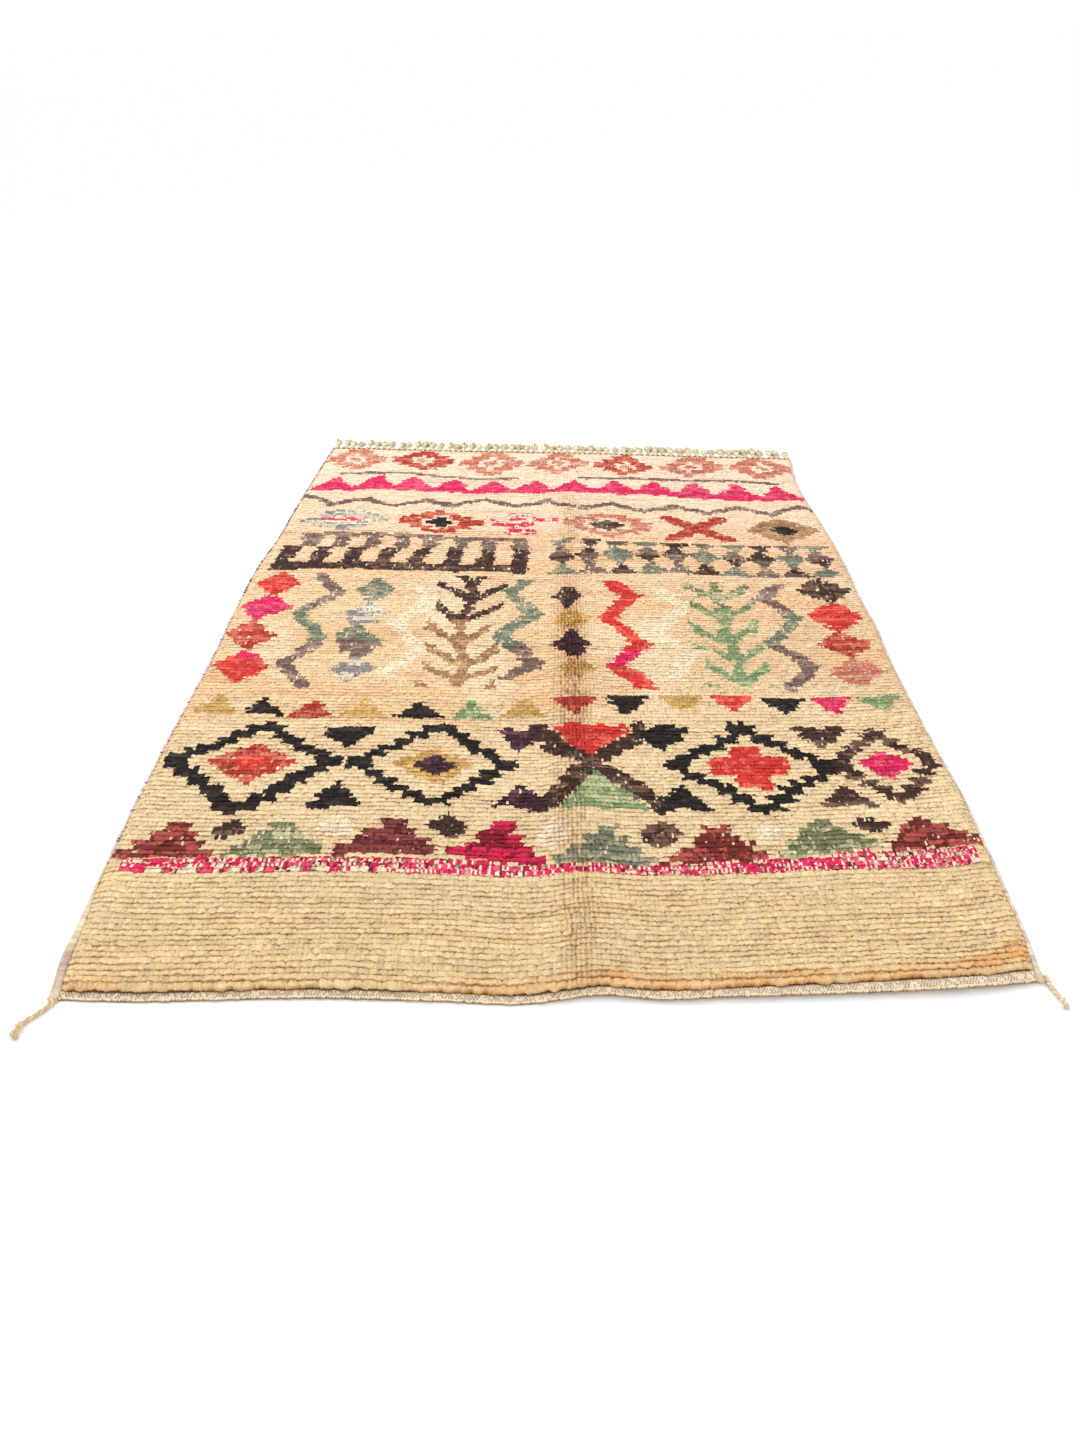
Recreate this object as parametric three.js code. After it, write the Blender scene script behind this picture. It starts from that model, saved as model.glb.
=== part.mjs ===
// A hand-knotted wool rug with a deep pile, lying flat on a floor.
// Millimetres, +Z up. The rug's length runs along +Y, from the flat-woven near end to the fringe.
// The origin is on the floor, at the middle of the rug and its fringe.

import * as THREE from "three";
import { mergeVertices } from "three/addons/utils/BufferGeometryUtils.js";

// Driving dimensions
const PILE_THICKNESS = 15; // ground weave and pile together
const PILE_RIM_THICKNESS = 12; // the pile leans out and thins at the rim
const GAP = 0.3; // between neighbouring pieces
const END_STRIP_WIDTH = 21; // flat-woven strip past the last row of knots
const END_STRIP_THICKNESS = 6;
const SELVEDGE_THICKNESS = 8; // where it is a wrapped cord
const SELVEDGE_CORD_WIDTH = 9;
const SELVEDGE_FLATTENING = 0.27; // thickness lost for each millimetre of width past the cord's
const FAR_CORD_WIDTH = 9;
const FAR_CORD_THICKNESS = 8;
const LIFT_REACH = 130; // how far in from the near end its waves die out
const FOLD_FADE = 0.1; // share of the way over which a fold line begins or ends

// Fringe: one comb of knotted tassels
const TASSEL_COUNT = 57;
const FRINGE_THICKNESS = 9;
const FRINGE_HEADING = 7; // the strip that joins the tassels
const TASSEL_LENGTH = 76;
const TASSEL_LENGTH_SPREAD = 14; // longer or shorter than that
const TASSEL_NECK = 7;
const TASSEL_KNOT = 13;
const TASSEL_BRUSH = 19;
const TASSEL_SWAY = 5; // how far a tip lies to one side
const TASSEL_SHIFT = 4; // how far a neck stands from its even place
const CORNER_TASSEL_EXTRA = 27; // the far left corner's tassel is longer
const CORNER_TASSEL_SWAY = -12; // and lies outwards

// Corner ties
const TIE_DIAMETER = 8.5;
const TIE_STEPS = 18;
const TIE_SIDES = 10;

// Grid of the pile solid, and the sides of a cord's section
const CELLS_ACROSS = 26;
const CELLS_ALONG = 34;
const CORD_SIDES = 8;
const RIM_SHARE = 0.499; // a vertex of a unit box past this is on its rim
const MERGE_DISTANCE = 0.001; // vertices nearer than this become one

// The near and far ends, from the left corner to the right one.
// across: share of the width. near: the strip's outer edge. lift: how high it stands off the floor.
const END_STATIONS = [
  { across: 0.0, near: -1403, lift: 0, far: 1302 },
  { across: 0.08, near: -1405, lift: 0, far: 1298 },
  { across: 0.25, near: -1392, lift: 1, far: 1280 },
  { across: 0.39, near: -1395, lift: 1, far: 1273 },
  { across: 0.47, near: -1398, lift: 0, far: 1269 },
  { across: 0.55, near: -1380, lift: 6, far: 1264 },
  { across: 0.61, near: -1386, lift: 4, far: 1258 },
  { across: 0.67, near: -1381, lift: 6, far: 1252 },
  { across: 0.83, near: -1365, lift: 7, far: 1234 },
  { across: 0.93, near: -1352, lift: 9, far: 1226 },
  { across: 1.0, near: -1332, lift: 3, far: 1220 },
];

// The two sides, from the near end to the far one.
// along: share of the length. left and right: the selvedges' outer edges. The widths are theirs.
const SIDE_STATIONS = [
  { along: 0.0, left: -862, leftWidth: 20, right: 870, rightWidth: 12 },
  { along: 0.03, left: -874, leftWidth: 20, right: 877, rightWidth: 9 },
  { along: 0.06, left: -875, leftWidth: 17, right: 880, rightWidth: 9 },
  { along: 0.1, left: -879, leftWidth: 9, right: 882, rightWidth: 9 },
  { along: 0.15, left: -883, leftWidth: 9, right: 884, rightWidth: 8 },
  { along: 0.2, left: -886, leftWidth: 9, right: 885, rightWidth: 8 },
  { along: 0.27, left: -887, leftWidth: 9, right: 877, rightWidth: 8 },
  { along: 0.36, left: -884, leftWidth: 9, right: 870, rightWidth: 8 },
  { along: 0.43, left: -882, leftWidth: 9, right: 867, rightWidth: 8 },
  { along: 0.5, left: -886, leftWidth: 9, right: 872, rightWidth: 8 },
  { along: 0.56, left: -888, leftWidth: 9, right: 866, rightWidth: 8 },
  { along: 0.63, left: -884, leftWidth: 9, right: 867, rightWidth: 8 },
  { along: 0.7, left: -868, leftWidth: 9, right: 863, rightWidth: 8 },
  { along: 0.79, left: -861, leftWidth: 9, right: 849, rightWidth: 8 },
  { along: 0.9, left: -848, leftWidth: 9, right: 832, rightWidth: 8 },
  { along: 1.0, left: -834, leftWidth: 9, right: 848, rightWidth: 8 },
];

// Old fold lines: soft ridges (rise above 0) and troughs (below 0) in the pile's top.
// way: the direction the fold runs in. at: its share of the width or length. from and to: its ends.
const FOLDS = [
  { way: "along", at: 0.53, halfWidth: 85, rise: 3, from: 0.0, to: 0.86 },
  { way: "across", at: 0.27, halfWidth: 45, rise: -1.6, from: 0.08, to: 0.62 },
  { way: "across", at: 0.31, halfWidth: 40, rise: -1.4, from: 0.45, to: 0.95 },
  { way: "across", at: 0.45, halfWidth: 55, rise: -1.2, from: 0.1, to: 0.9 },
  { way: "across", at: 0.72, halfWidth: 60, rise: 1.2, from: 0.05, to: 0.7 },
];

// Routes of the ties, x and y, from a selvedge's near end to the knot. They lie on the floor.
const LEFT_TIE_ROUTE = [
  [-848, -1403.7],
  [-848.2, -1409],
  [-853, -1420],
  [-861, -1432.5],
  [-870, -1443.5],
  [-877, -1451],
  [-880, -1457.5],
];
const RIGHT_TIE_ROUTE = [
  [874.8, -1314],
  [875.5, -1325],
  [877, -1340],
  [880, -1355],
  [884, -1366.5],
];
const LEFT_TASSEL_SCALE = 0.85;
const RIGHT_TASSEL_SCALE = 0.65;

// A tie's knot and frayed brush. at: distance from the knot's start. radius: how thick it is there.
const TIE_TASSEL_PROFILE = [
  { at: 0, radius: 3.5 },
  { at: 3, radius: 6.5 },
  { at: 9, radius: 7.5 },
  { at: 15, radius: 6 },
  { at: 18, radius: 4 },
  { at: 26, radius: 7 },
  { at: 33, radius: 7.5 },
  { at: 37, radius: 5 },
];

function lerp(a, b, t) {
  return a + (b - a) * t;
}

function smooth(t) {
  const held = Math.min(Math.max(t, 0), 1);
  return held * held * (3 - 2 * held);
}

// A value between -1 and 1 that looks random and is the same each time.
function uneven(index, seed) {
  const turned = Math.sin(index * 12.9898 + seed * 78.233) * 43.7585;
  return 2 * (turned - Math.floor(turned)) - 1;
}

// Reads one column of a table at a share of the way, on a smooth curve through its rows.
function read(table, key, column, share) {
  const last = table.length - 1;
  let i = 0;
  while (i < last - 1 && table[i + 1][key] < share) {
    i += 1;
  }
  const slope = (j) => {
    const before = table[Math.max(j - 1, 0)];
    const after = table[Math.min(j + 1, last)];
    return (after[column] - before[column]) / (after[key] - before[key]);
  };
  const span = table[i + 1][key] - table[i][key];
  const t = (share - table[i][key]) / span;
  const start = table[i][column];
  const end = table[i + 1][column];
  const square = t * t;
  const cube = square * t;
  return (
    start * (2 * cube - 3 * square + 1) +
    slope(i) * span * (cube - 2 * square + t) +
    end * (3 * square - 2 * cube) +
    slope(i + 1) * span * (cube - square)
  );
}

const endValue = (column, across) => read(END_STATIONS, "across", column, across);
const sideValue = (column, along) => read(SIDE_STATIONS, "along", column, along);

// The pile lies between the selvedges, the end strip and the far cord.
const pileLeft = (along) => sideValue("left", along) + sideValue("leftWidth", along) + GAP;
const pileRight = (along) => sideValue("right", along) - sideValue("rightWidth", along) - GAP;
const pileNear = (across) => endValue("near", across) + END_STRIP_WIDTH + GAP;
const pileFar = (across) => endValue("far", across) - FAR_CORD_WIDTH - GAP;

// A point of the pile's plan, from its shares of the width and the length.
function pilePoint(across, along) {
  return {
    x: lerp(pileLeft(along), pileRight(along), across),
    y: lerp(pileNear(across), pileFar(across), along),
  };
}

// How high the cloth stands off the floor: only in the waves of its near end.
function liftAt(across, y) {
  const inward = (y - endValue("near", across)) / LIFT_REACH;
  return Math.max(endValue("lift", across), 0) * (1 - smooth(inward));
}

// The soft ridges and troughs of the pile's top.
function foldsAt(across, along, point) {
  let height = 0;
  for (const fold of FOLDS) {
    const lengthwise = fold.way === "along";
    const line = lengthwise ? pilePoint(fold.at, along).x : pilePoint(across, fold.at).y;
    const off = Math.abs((lengthwise ? point.x : point.y) - line) / fold.halfWidth;
    const run = lengthwise ? along : across;
    const begun = smooth((run - fold.from) / FOLD_FADE + 0.5);
    const ended = smooth((fold.to - run) / FOLD_FADE + 0.5);
    height += fold.rise * begun * ended * (1 - smooth(off));
  }
  return height;
}

// Moves every vertex of a geometry and returns it as one closed skin of shared vertices.
function reshape(geometry, move) {
  const places = geometry.attributes.position;
  const vertex = new THREE.Vector3();
  for (let i = 0; i < places.count; i += 1) {
    vertex.fromBufferAttribute(places, i);
    move(vertex);
    places.setXYZ(i, vertex.x, vertex.y, vertex.z);
  }
  geometry.deleteAttribute("normal");
  geometry.deleteAttribute("uv");
  const skin = mergeVertices(geometry, MERGE_DISTANCE);
  skin.computeVertexNormals();
  return skin;
}

function material(color, roughness) {
  return new THREE.MeshStandardMaterial({ color, roughness, metalness: 0 });
}

function piece(name, geometry, finish) {
  const mesh = new THREE.Mesh(geometry, finish);
  mesh.name = name;
  return mesh;
}

// Ground weave and pile as one slab, with a flat underside and an uneven top.
function rugPile() {
  const box = new THREE.BoxGeometry(1, 1, 1, CELLS_ACROSS, CELLS_ALONG, 1);
  return reshape(box, (vertex) => {
    const across = vertex.x + 0.5;
    const along = vertex.y + 0.5;
    const point = pilePoint(across, along);
    const lift = liftAt(across, point.y);
    const onRim = Math.max(Math.abs(vertex.x), Math.abs(vertex.y)) > RIM_SHARE;
    const thickness = onRim ? PILE_RIM_THICKNESS : PILE_THICKNESS + foldsAt(across, along, point);
    vertex.set(point.x, point.y, lift + (vertex.z > 0 ? thickness : 0));
  });
}

// A flat-sided cord laid through the stations that station(0) to station(steps) give:
// each has a middle x and y, a width, a thickness, a height off the floor and its own sideways way.
function laidCord(steps, station) {
  const cylinder = new THREE.CylinderGeometry(1, 1, 1, CORD_SIDES, steps);
  const flat = Math.cos(Math.PI / CORD_SIDES);
  const turn = new THREE.Matrix4().makeRotationY(Math.PI / CORD_SIDES);
  return reshape(cylinder, (vertex) => {
    const s = station(Math.round((vertex.y + 0.5) * steps));
    vertex.applyMatrix4(turn);
    const side = (vertex.x / flat / 2) * s.width;
    const up = (vertex.z / flat / 2 + 0.5) * s.thickness;
    vertex.set(s.x + side * s.sideX, s.y + side * s.sideY, s.lift + up);
  });
}

// A selvedge runs past the pile at both ends, to the outer edges of the strip and the far cord.
function selvedge(side) {
  const onLeft = side === "left";
  const across = onLeft ? 0 : 1;
  const inward = onLeft ? 1 : -1;
  const steps = CELLS_ALONG + 2;
  return laidCord(steps, (index) => {
    const along = Math.min(Math.max((index - 1) / CELLS_ALONG, 0), 1);
    const width = sideValue(`${side}Width`, along);
    let y = pilePoint(across, along).y;
    if (index === 0) {
      y = endValue("near", across);
    }
    if (index === steps) {
      y = endValue("far", across);
    }
    return {
      x: sideValue(side, along) + (inward * width) / 2,
      y,
      width,
      thickness: SELVEDGE_THICKNESS - SELVEDGE_FLATTENING * Math.max(width - SELVEDGE_CORD_WIDTH, 0),
      lift: liftAt(across, y),
      sideX: 1,
      sideY: 0,
    };
  });
}

// The flat-woven strip across the near end, between the selvedges.
function nearEndStrip() {
  return laidCord(CELLS_ACROSS, (index) => {
    const across = index / CELLS_ACROSS;
    const y = endValue("near", across) + END_STRIP_WIDTH / 2;
    return {
      x: pilePoint(across, 0).x,
      y,
      width: END_STRIP_WIDTH,
      thickness: END_STRIP_THICKNESS,
      lift: liftAt(across, y),
      sideX: 0,
      sideY: -1,
    };
  });
}

// The twined cord across the far end, between the selvedges.
function farEndCord() {
  return laidCord(CELLS_ACROSS, (index) => {
    const across = index / CELLS_ACROSS;
    return {
      x: pilePoint(across, 1).x,
      y: endValue("far", across) - FAR_CORD_WIDTH / 2,
      width: FAR_CORD_WIDTH,
      thickness: FAR_CORD_THICKNESS,
      lift: 0,
      sideX: 0,
      sideY: -1,
    };
  });
}

// One tassel of the fringe: where it starts, how long it is and how far its tip lies to one side.
function tassel(index) {
  const across = (index + 0.5) / TASSEL_COUNT;
  const atCorner = index === 0;
  return {
    x: lerp(sideValue("left", 1), sideValue("right", 1), across) + TASSEL_SHIFT * uneven(index, 3),
    y: endValue("far", across) + GAP + FRINGE_HEADING,
    length: TASSEL_LENGTH + TASSEL_LENGTH_SPREAD * uneven(index, 1) + (atCorner ? CORNER_TASSEL_EXTRA : 0),
    sway: atCorner ? CORNER_TASSEL_SWAY : TASSEL_SWAY * uneven(index, 2),
  };
}

// The outline of a tassel, as [share of its length, half width] from one side of its neck to the other.
const TASSEL_OUTLINE = [
  [0.0, TASSEL_NECK / 2],
  [0.3, TASSEL_NECK / 2],
  [0.48, TASSEL_KNOT / 2],
  [0.68, TASSEL_NECK / 2 + 1],
  [0.97, TASSEL_BRUSH / 2],
];

// The fringe lies flat behind the far cord, as one comb.
function fringe() {
  const comb = new THREE.Shape();
  const left = sideValue("left", 1);
  const right = sideValue("right", 1);
  comb.moveTo(left, endValue("far", 0) + GAP);
  for (let index = 0; index < TASSEL_COUNT; index += 1) {
    const t = tassel(index);
    const corner = (share, half) => comb.lineTo(t.x + t.sway * share + half, t.y + t.length * share);
    if (index === 0) {
      comb.lineTo(left, t.y);
    }
    TASSEL_OUTLINE.forEach(([share, half]) => corner(share, -half));
    [...TASSEL_OUTLINE].reverse().forEach(([share, half]) => corner(share, half));
  }
  comb.lineTo(right, tassel(TASSEL_COUNT - 1).y);
  comb.lineTo(right, endValue("far", 1) + GAP);
  for (let index = CELLS_ACROSS; index >= 0; index -= 1) {
    const across = index / CELLS_ACROSS;
    comb.lineTo(pilePoint(across, 1).x, endValue("far", across) + GAP);
  }
  const solid = new THREE.ExtrudeGeometry(comb, { depth: FRINGE_THICKNESS, bevelEnabled: false });
  return reshape(solid, () => {});
}

// A tie is a round cord that lies on the floor from a corner of the cloth to its knot.
function tieTube(route) {
  const height = TIE_DIAMETER / 2 + GAP;
  const path = new THREE.CatmullRomCurve3(route.map(([x, y]) => new THREE.Vector3(x, y, height)));
  const section = new THREE.Shape();
  for (let side = 0; side < TIE_SIDES; side += 1) {
    const angle = ((side + 0.5) / TIE_SIDES) * 2 * Math.PI;
    const corner = [(Math.cos(angle) * TIE_DIAMETER) / 2, (Math.sin(angle) * TIE_DIAMETER) / 2];
    if (side === 0) {
      section.moveTo(...corner);
    } else {
      section.lineTo(...corner);
    }
  }
  const tube = new THREE.ExtrudeGeometry(section, { steps: TIE_STEPS, extrudePath: path });
  return reshape(tube, () => {});
}

// The knot and the frayed brush at a tie's free end, turned about the tie's last direction.
function tieTassel(name, route, scale, finish) {
  const [fromX, fromY] = route[route.length - 2];
  const [x, y] = route[route.length - 1];
  const way = new THREE.Vector3(x - fromX, y - fromY, 0).normalize();
  const profile = TIE_TASSEL_PROFILE.map(({ at, radius }) => new THREE.Vector2(radius * scale, at * scale));
  const end = TIE_TASSEL_PROFILE[TIE_TASSEL_PROFILE.length - 1].at * scale;
  const closed = [new THREE.Vector2(0, 0), ...profile, new THREE.Vector2(0, end)];
  const turned = new THREE.LatheGeometry(closed, TIE_SIDES);
  const mesh = piece(name, reshape(turned, () => {}), finish);
  const thickest = scale * Math.max(...TIE_TASSEL_PROFILE.map(({ radius }) => radius));
  mesh.quaternion.setFromUnitVectors(new THREE.Vector3(0, 1, 0), way);
  mesh.position.set(x + way.x * GAP, y + way.y * GAP, thickest + GAP);
  return mesh;
}

const pileWool = material(0xe6c896, 1.0);
const endWool = material(0xc9bda4, 0.95);
const selvedgeWool = material(0x9a8f8c, 0.95);
const cordWool = material(0xb08a62, 0.95);
const fringeWool = material(0xd6cbaa, 0.95);
const tieWool = material(0xd2bd96, 0.95);

const rug = new THREE.Group();
rug.add(
  piece("rug_pile", rugPile(), pileWool),
  piece("near_end_strip", nearEndStrip(), endWool),
  piece("left_selvedge", selvedge("left"), selvedgeWool),
  piece("right_selvedge", selvedge("right"), selvedgeWool),
  piece("far_end_cord", farEndCord(), cordWool),
  piece("fringe", fringe(), fringeWool),
  piece("left_corner_tie", tieTube(LEFT_TIE_ROUTE), tieWool),
  tieTassel("left_tie_tassel", LEFT_TIE_ROUTE, LEFT_TASSEL_SCALE, tieWool),
  piece("right_corner_tie", tieTube(RIGHT_TIE_ROUTE), tieWool),
  tieTassel("right_tie_tassel", RIGHT_TIE_ROUTE, RIGHT_TASSEL_SCALE, tieWool),
);

export default rug;
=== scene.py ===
"""A hand-knotted Moroccan wool rug, lying flat on a pale floor and seen from its near end."""

import math

import bpy
import numpy as np
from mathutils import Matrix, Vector


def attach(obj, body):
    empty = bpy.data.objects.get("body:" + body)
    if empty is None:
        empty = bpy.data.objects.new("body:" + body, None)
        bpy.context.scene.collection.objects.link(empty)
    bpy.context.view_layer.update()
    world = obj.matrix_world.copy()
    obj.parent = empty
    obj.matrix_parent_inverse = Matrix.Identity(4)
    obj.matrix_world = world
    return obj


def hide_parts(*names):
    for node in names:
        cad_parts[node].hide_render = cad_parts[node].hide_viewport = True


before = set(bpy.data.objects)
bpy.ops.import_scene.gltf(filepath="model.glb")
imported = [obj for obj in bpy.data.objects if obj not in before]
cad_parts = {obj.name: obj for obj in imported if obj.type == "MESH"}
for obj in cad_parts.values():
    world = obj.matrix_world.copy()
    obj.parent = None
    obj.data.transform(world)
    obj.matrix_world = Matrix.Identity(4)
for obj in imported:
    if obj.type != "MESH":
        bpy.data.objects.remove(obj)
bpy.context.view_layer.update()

# Sizes. The tables repeat the CAD model's, in millimetres; everything that is built is in metres.
MM = 0.001
GAP = 0.3 * MM
# Across the rug: shares of the width, and how wide the near strip is there, in millimetres
END_STRIP_WIDTHS = ((0, 0.68, 0.84, 0.96, 1.0), (21, 21, 26, 28, 30))
FAR_CORD_WIDTH = 9 * MM
LIFT_REACH = 130 * MM
FOLD_FADE = 0.1
MIDDLE_FOLD = 0.53  # share of the width at which the rug was folded lengthwise

# across, near edge, lift off the floor, far edge
END_STATIONS = np.array([
    (0.00, -1403, 0, 1302),
    (0.08, -1405, 0, 1298),
    (0.25, -1392, 1, 1280),
    (0.39, -1395, 1, 1273),
    (0.47, -1398, 0, 1269),
    (0.55, -1380, 6, 1264),
    (0.61, -1386, 4, 1258),
    (0.67, -1381, 6, 1252),
    (0.83, -1365, 7, 1234),
    (0.93, -1352, 9, 1226),
    (1.00, -1332, 3, 1220),
])
NEAR, LIFT, FAR = 1, 2, 3

# along, left edge, left selvedge's width, right edge, right selvedge's width
SIDE_STATIONS = np.array([
    (0.00, -862, 20, 870, 12),
    (0.03, -874, 20, 877, 9),
    (0.06, -875, 17, 880, 9),
    (0.10, -879, 9, 882, 9),
    (0.15, -883, 9, 884, 8),
    (0.20, -886, 9, 885, 8),
    (0.27, -887, 9, 877, 8),
    (0.36, -884, 9, 870, 8),
    (0.43, -882, 9, 867, 8),
    (0.50, -886, 9, 872, 8),
    (0.56, -888, 9, 866, 8),
    (0.63, -884, 9, 867, 8),
    (0.70, -868, 9, 863, 8),
    (0.79, -861, 9, 849, 8),
    (0.90, -848, 9, 832, 8),
    (1.00, -834, 9, 848, 8),
])
LEFT, LEFT_WIDTH, RIGHT, RIGHT_WIDTH = 1, 2, 3, 4

# Old fold lines: lengthwise or not, place, half width in mm, rise in mm, from, to
FOLDS = (
    (True, MIDDLE_FOLD, 85, 3.0, 0.00, 0.86),
    (False, 0.27, 45, -1.6, 0.08, 0.62),
    (False, 0.31, 40, -1.4, 0.45, 0.95),
    (False, 0.45, 55, -1.2, 0.10, 0.90),
    (False, 0.72, 60, 1.2, 0.05, 0.70),
)

# The ties' routes from the selvedge's end to the knot, in millimetres on the floor
LEFT_TIE_ROUTE = (
    (-848, -1403.7),
    (-848.2, -1409),
    (-853, -1420),
    (-861, -1432.5),
    (-870, -1443.5),
    (-877, -1451),
    (-880, -1457.5),
)
RIGHT_TIE_ROUTE = (
    (874.8, -1314),
    (875.5, -1325),
    (877, -1340),
    (880, -1355),
    (884, -1366.5),
)
TIE_DIAMETER = 8.5 * MM
LEFT_KNOT_SCALE = 0.85
RIGHT_KNOT_SCALE = 0.65

# Fringe, as in the CAD model
TASSEL_COUNT = 57
FRINGE_HEADING = 7 * MM
TASSEL_LENGTH = 76 * MM
TASSEL_LENGTH_SPREAD = 14 * MM
TASSEL_SWAY = 5 * MM
TASSEL_SHIFT = 4 * MM
CORNER_TASSEL_EXTRA = 27 * MM
CORNER_TASSEL_SWAY = -12 * MM

# Knotted pile
ROWS = 188
KNOTS = 196
PILE_BANDS = 5
PILE_TOP = 14.6 * MM
GROUND_TOP = 3 * MM
CLOTH_INSET = 0.2 * MM
FACES_PER_KNOT = 2
# share of the row's depth, share of the pile's height, how far it leans to the near end in mm
ROW_PROFILE = np.array([
    (0.00, 0.00, -1.2),
    (0.10, 0.70, 1.9),
    (0.32, 1.00, 1.4),
    (0.60, 0.93, 0.4),
    (0.84, 0.62, -0.4),
])
FAR_HALF = 2  # the profile's points from here on are knotted from the chart's next half row
GROOVE_DEPTH = 4.5 * MM
CREASE_DEPTH = 2.5 * MM
# Behind its last rows the pile falls away: how far, and over how many rows
FAR_SLOPE = 9.5 * MM
FAR_SLOPE_ROWS = 1.8
# The rounding along the sides: its width, drop and bulge
EDGE_ROUNDING = 16 * MM
EDGE_DROP = 6.6 * MM
EDGE_BULGE = 1.2 * MM
# Rows and knots wander less within 1/60 of the length and 1/80 of the width
CALM_ENDS = 60
CALM_SIDES = 80
FOOT_SHADE = 0.6  # painted shade at the pile's foot, as dark as this deep in a groove
# Along the rug: shares of the length, and how deep the grooves are there
GROOVES_ALONG = ((0, 0.02, 0.12, 0.3, 0.6, 1), (1.15, 1.0, 0.9, 0.62, 0.5, 0.45))
# Along the middle fold, by share of the length: how far the pile opens, and half its width in mm
FOLD_OPENING = ((0, 0.22, 0.33, 0.50, 0.62, 0.8), (0.75, 0.8, 1.8, 1.75, 0.75, 0.7))
FOLD_HALF_WIDTHS = ((0, 0.1, 0.4, 0.8), (50, 62, 66, 50))
CREASE_ROWS = 0.6  # half a crease's width
# Thin creases across: share of the length, from and to across the width, and how far they bow
CREASES = (
    (0.047, 0.02, 0.50, 0.002),
    (0.268, 0.02, 0.40, 0.004),
    (0.30, 0.55, 0.97, 0.005),
    (0.318, 0.10, 0.46, 0.004),
    (0.452, 0.30, 0.88, 0.004),
    (0.72, 0.08, 0.60, 0.003),
)

# The camera that the photograph was taken with: place, pitch down and turn to the left
CAMERA_PLACE = (0.0136, -2.7437, 1.4767)
CAMERA_PITCH = 0.5839
CAMERA_YAW = 0.0191
FOCAL_SHARE = 1130 / 1440  # focal length over the picture's height
SENSOR_HEIGHT = 36
FLOOR_REACH = 40
SKY_STRENGTH = 1.05

# Directions
UP = (0.0, 0.0, 1.0)
TOWARD_RIGHT = (1.0, 0.0, 0.0)
TOWARD_FAR = (0.0, 1.0, 0.0)
TOWARD_NEAR = (0.0, -1.0, 0.0)


def srgb(r, g, b):
    """A colour as the eye sees it, 0 to 255, in the linear values that the materials use."""
    c = np.array((r, g, b)) / 255
    return np.where(c <= 0.04045, c / 12.92, ((c + 0.055) / 1.055) ** 2.4)


def lerp(a, b, t):
    return a + (b - a) * t


def smooth(t):
    t = np.clip(t, 0, 1)
    return t * t * (3 - 2 * t)


def stacked(*values):
    """Puts values side by side on a new last axis."""
    return np.stack(np.broadcast_arrays(*values), -1)


def uneven(index, seed):
    """A value from -1 to 1 that looks random, the same as in the CAD model."""
    turned = np.sin(index * 12.9898 + seed * 78.233) * 43.7585
    return 2 * (turned - np.floor(turned)) - 1


def scatter(i, j, seed):
    """A value from 0 to 1 for each pair of numbers, the same each time."""
    turned = np.sin(i * 127.1 + j * 311.7 + seed * 74.7) * 43758.5453
    return turned - np.floor(turned)


def noise(x, y, seed):
    """Smooth noise from -1 to 1, with features about one unit across."""
    i, j = np.floor(x), np.floor(y)
    u, v = smooth(x - i), smooth(y - j)
    low = lerp(scatter(i, j, seed), scatter(i + 1, j, seed), u)
    high = lerp(scatter(i, j + 1, seed), scatter(i + 1, j + 1, seed), u)
    return 2 * lerp(low, high, v) - 1


def read(table, column, share):
    """Reads a table's column at a share of the way, on a smooth curve through its rows."""
    keys, values = table[:, 0], table[:, column]
    padded = np.pad(table, ((1, 1), (0, 0)), "edge")
    around = padded[2:] - padded[:-2]
    slopes = around[:, column] / around[:, 0]
    i = np.clip(np.searchsorted(keys, share) - 1, 0, len(keys) - 2)
    span = keys[i + 1] - keys[i]
    t = (share - keys[i]) / span
    square, cube = t**2, t**3
    return MM * (
        values[i] * (2 * cube - 3 * square + 1)
        + slopes[i] * span * (cube - 2 * square + t)
        + values[i + 1] * (3 * square - 2 * cube)
        + slopes[i + 1] * span * (cube - square)
    )


def strip_width(across):
    """How wide the near strip is at a share of the rug's width."""
    return np.interp(across, *END_STRIP_WIDTHS) * MM


def plan(across, along):
    """x and y of the pile's plan, from its shares of the width and the length."""
    left = read(SIDE_STATIONS, LEFT, along) + read(SIDE_STATIONS, LEFT_WIDTH, along) + GAP
    right = read(SIDE_STATIONS, RIGHT, along) - read(SIDE_STATIONS, RIGHT_WIDTH, along) - GAP
    near = read(END_STATIONS, NEAR, across) + strip_width(across) + GAP
    far = read(END_STATIONS, FAR, across) - FAR_CORD_WIDTH - GAP
    return lerp(left, right, across), lerp(near, far, along)


def stations_across(along, pitch, steps):
    """Shares of the width, at so many steps for each pitch."""
    width = plan(1.0, along)[0] - plan(0.0, along)[0]
    return np.linspace(0, 1, int(width / pitch) * steps + 1)


def lift_at(across, y):
    """How high the cloth stands off the floor in the waves of its near end."""
    inward = (y - read(END_STATIONS, NEAR, across)) / LIFT_REACH
    return np.maximum(read(END_STATIONS, LIFT, across), 0) * (1 - smooth(inward))


def folds_at(across, along, x, y):
    """How much the old fold lines raise or lower the pile."""
    height = 0
    for lengthwise, place, half_width, rise, start, end in FOLDS:
        if lengthwise:
            off, run = x - plan(place, along)[0], along
        else:
            off, run = y - plan(across, place)[1], across
        begun = smooth((run - start) / FOLD_FADE + 0.5)
        ended = smooth((end - run) / FOLD_FADE + 0.5)
        height = height + rise * MM * begun * ended * (1 - smooth(abs(off) / (half_width * MM)))
    return height


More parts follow.
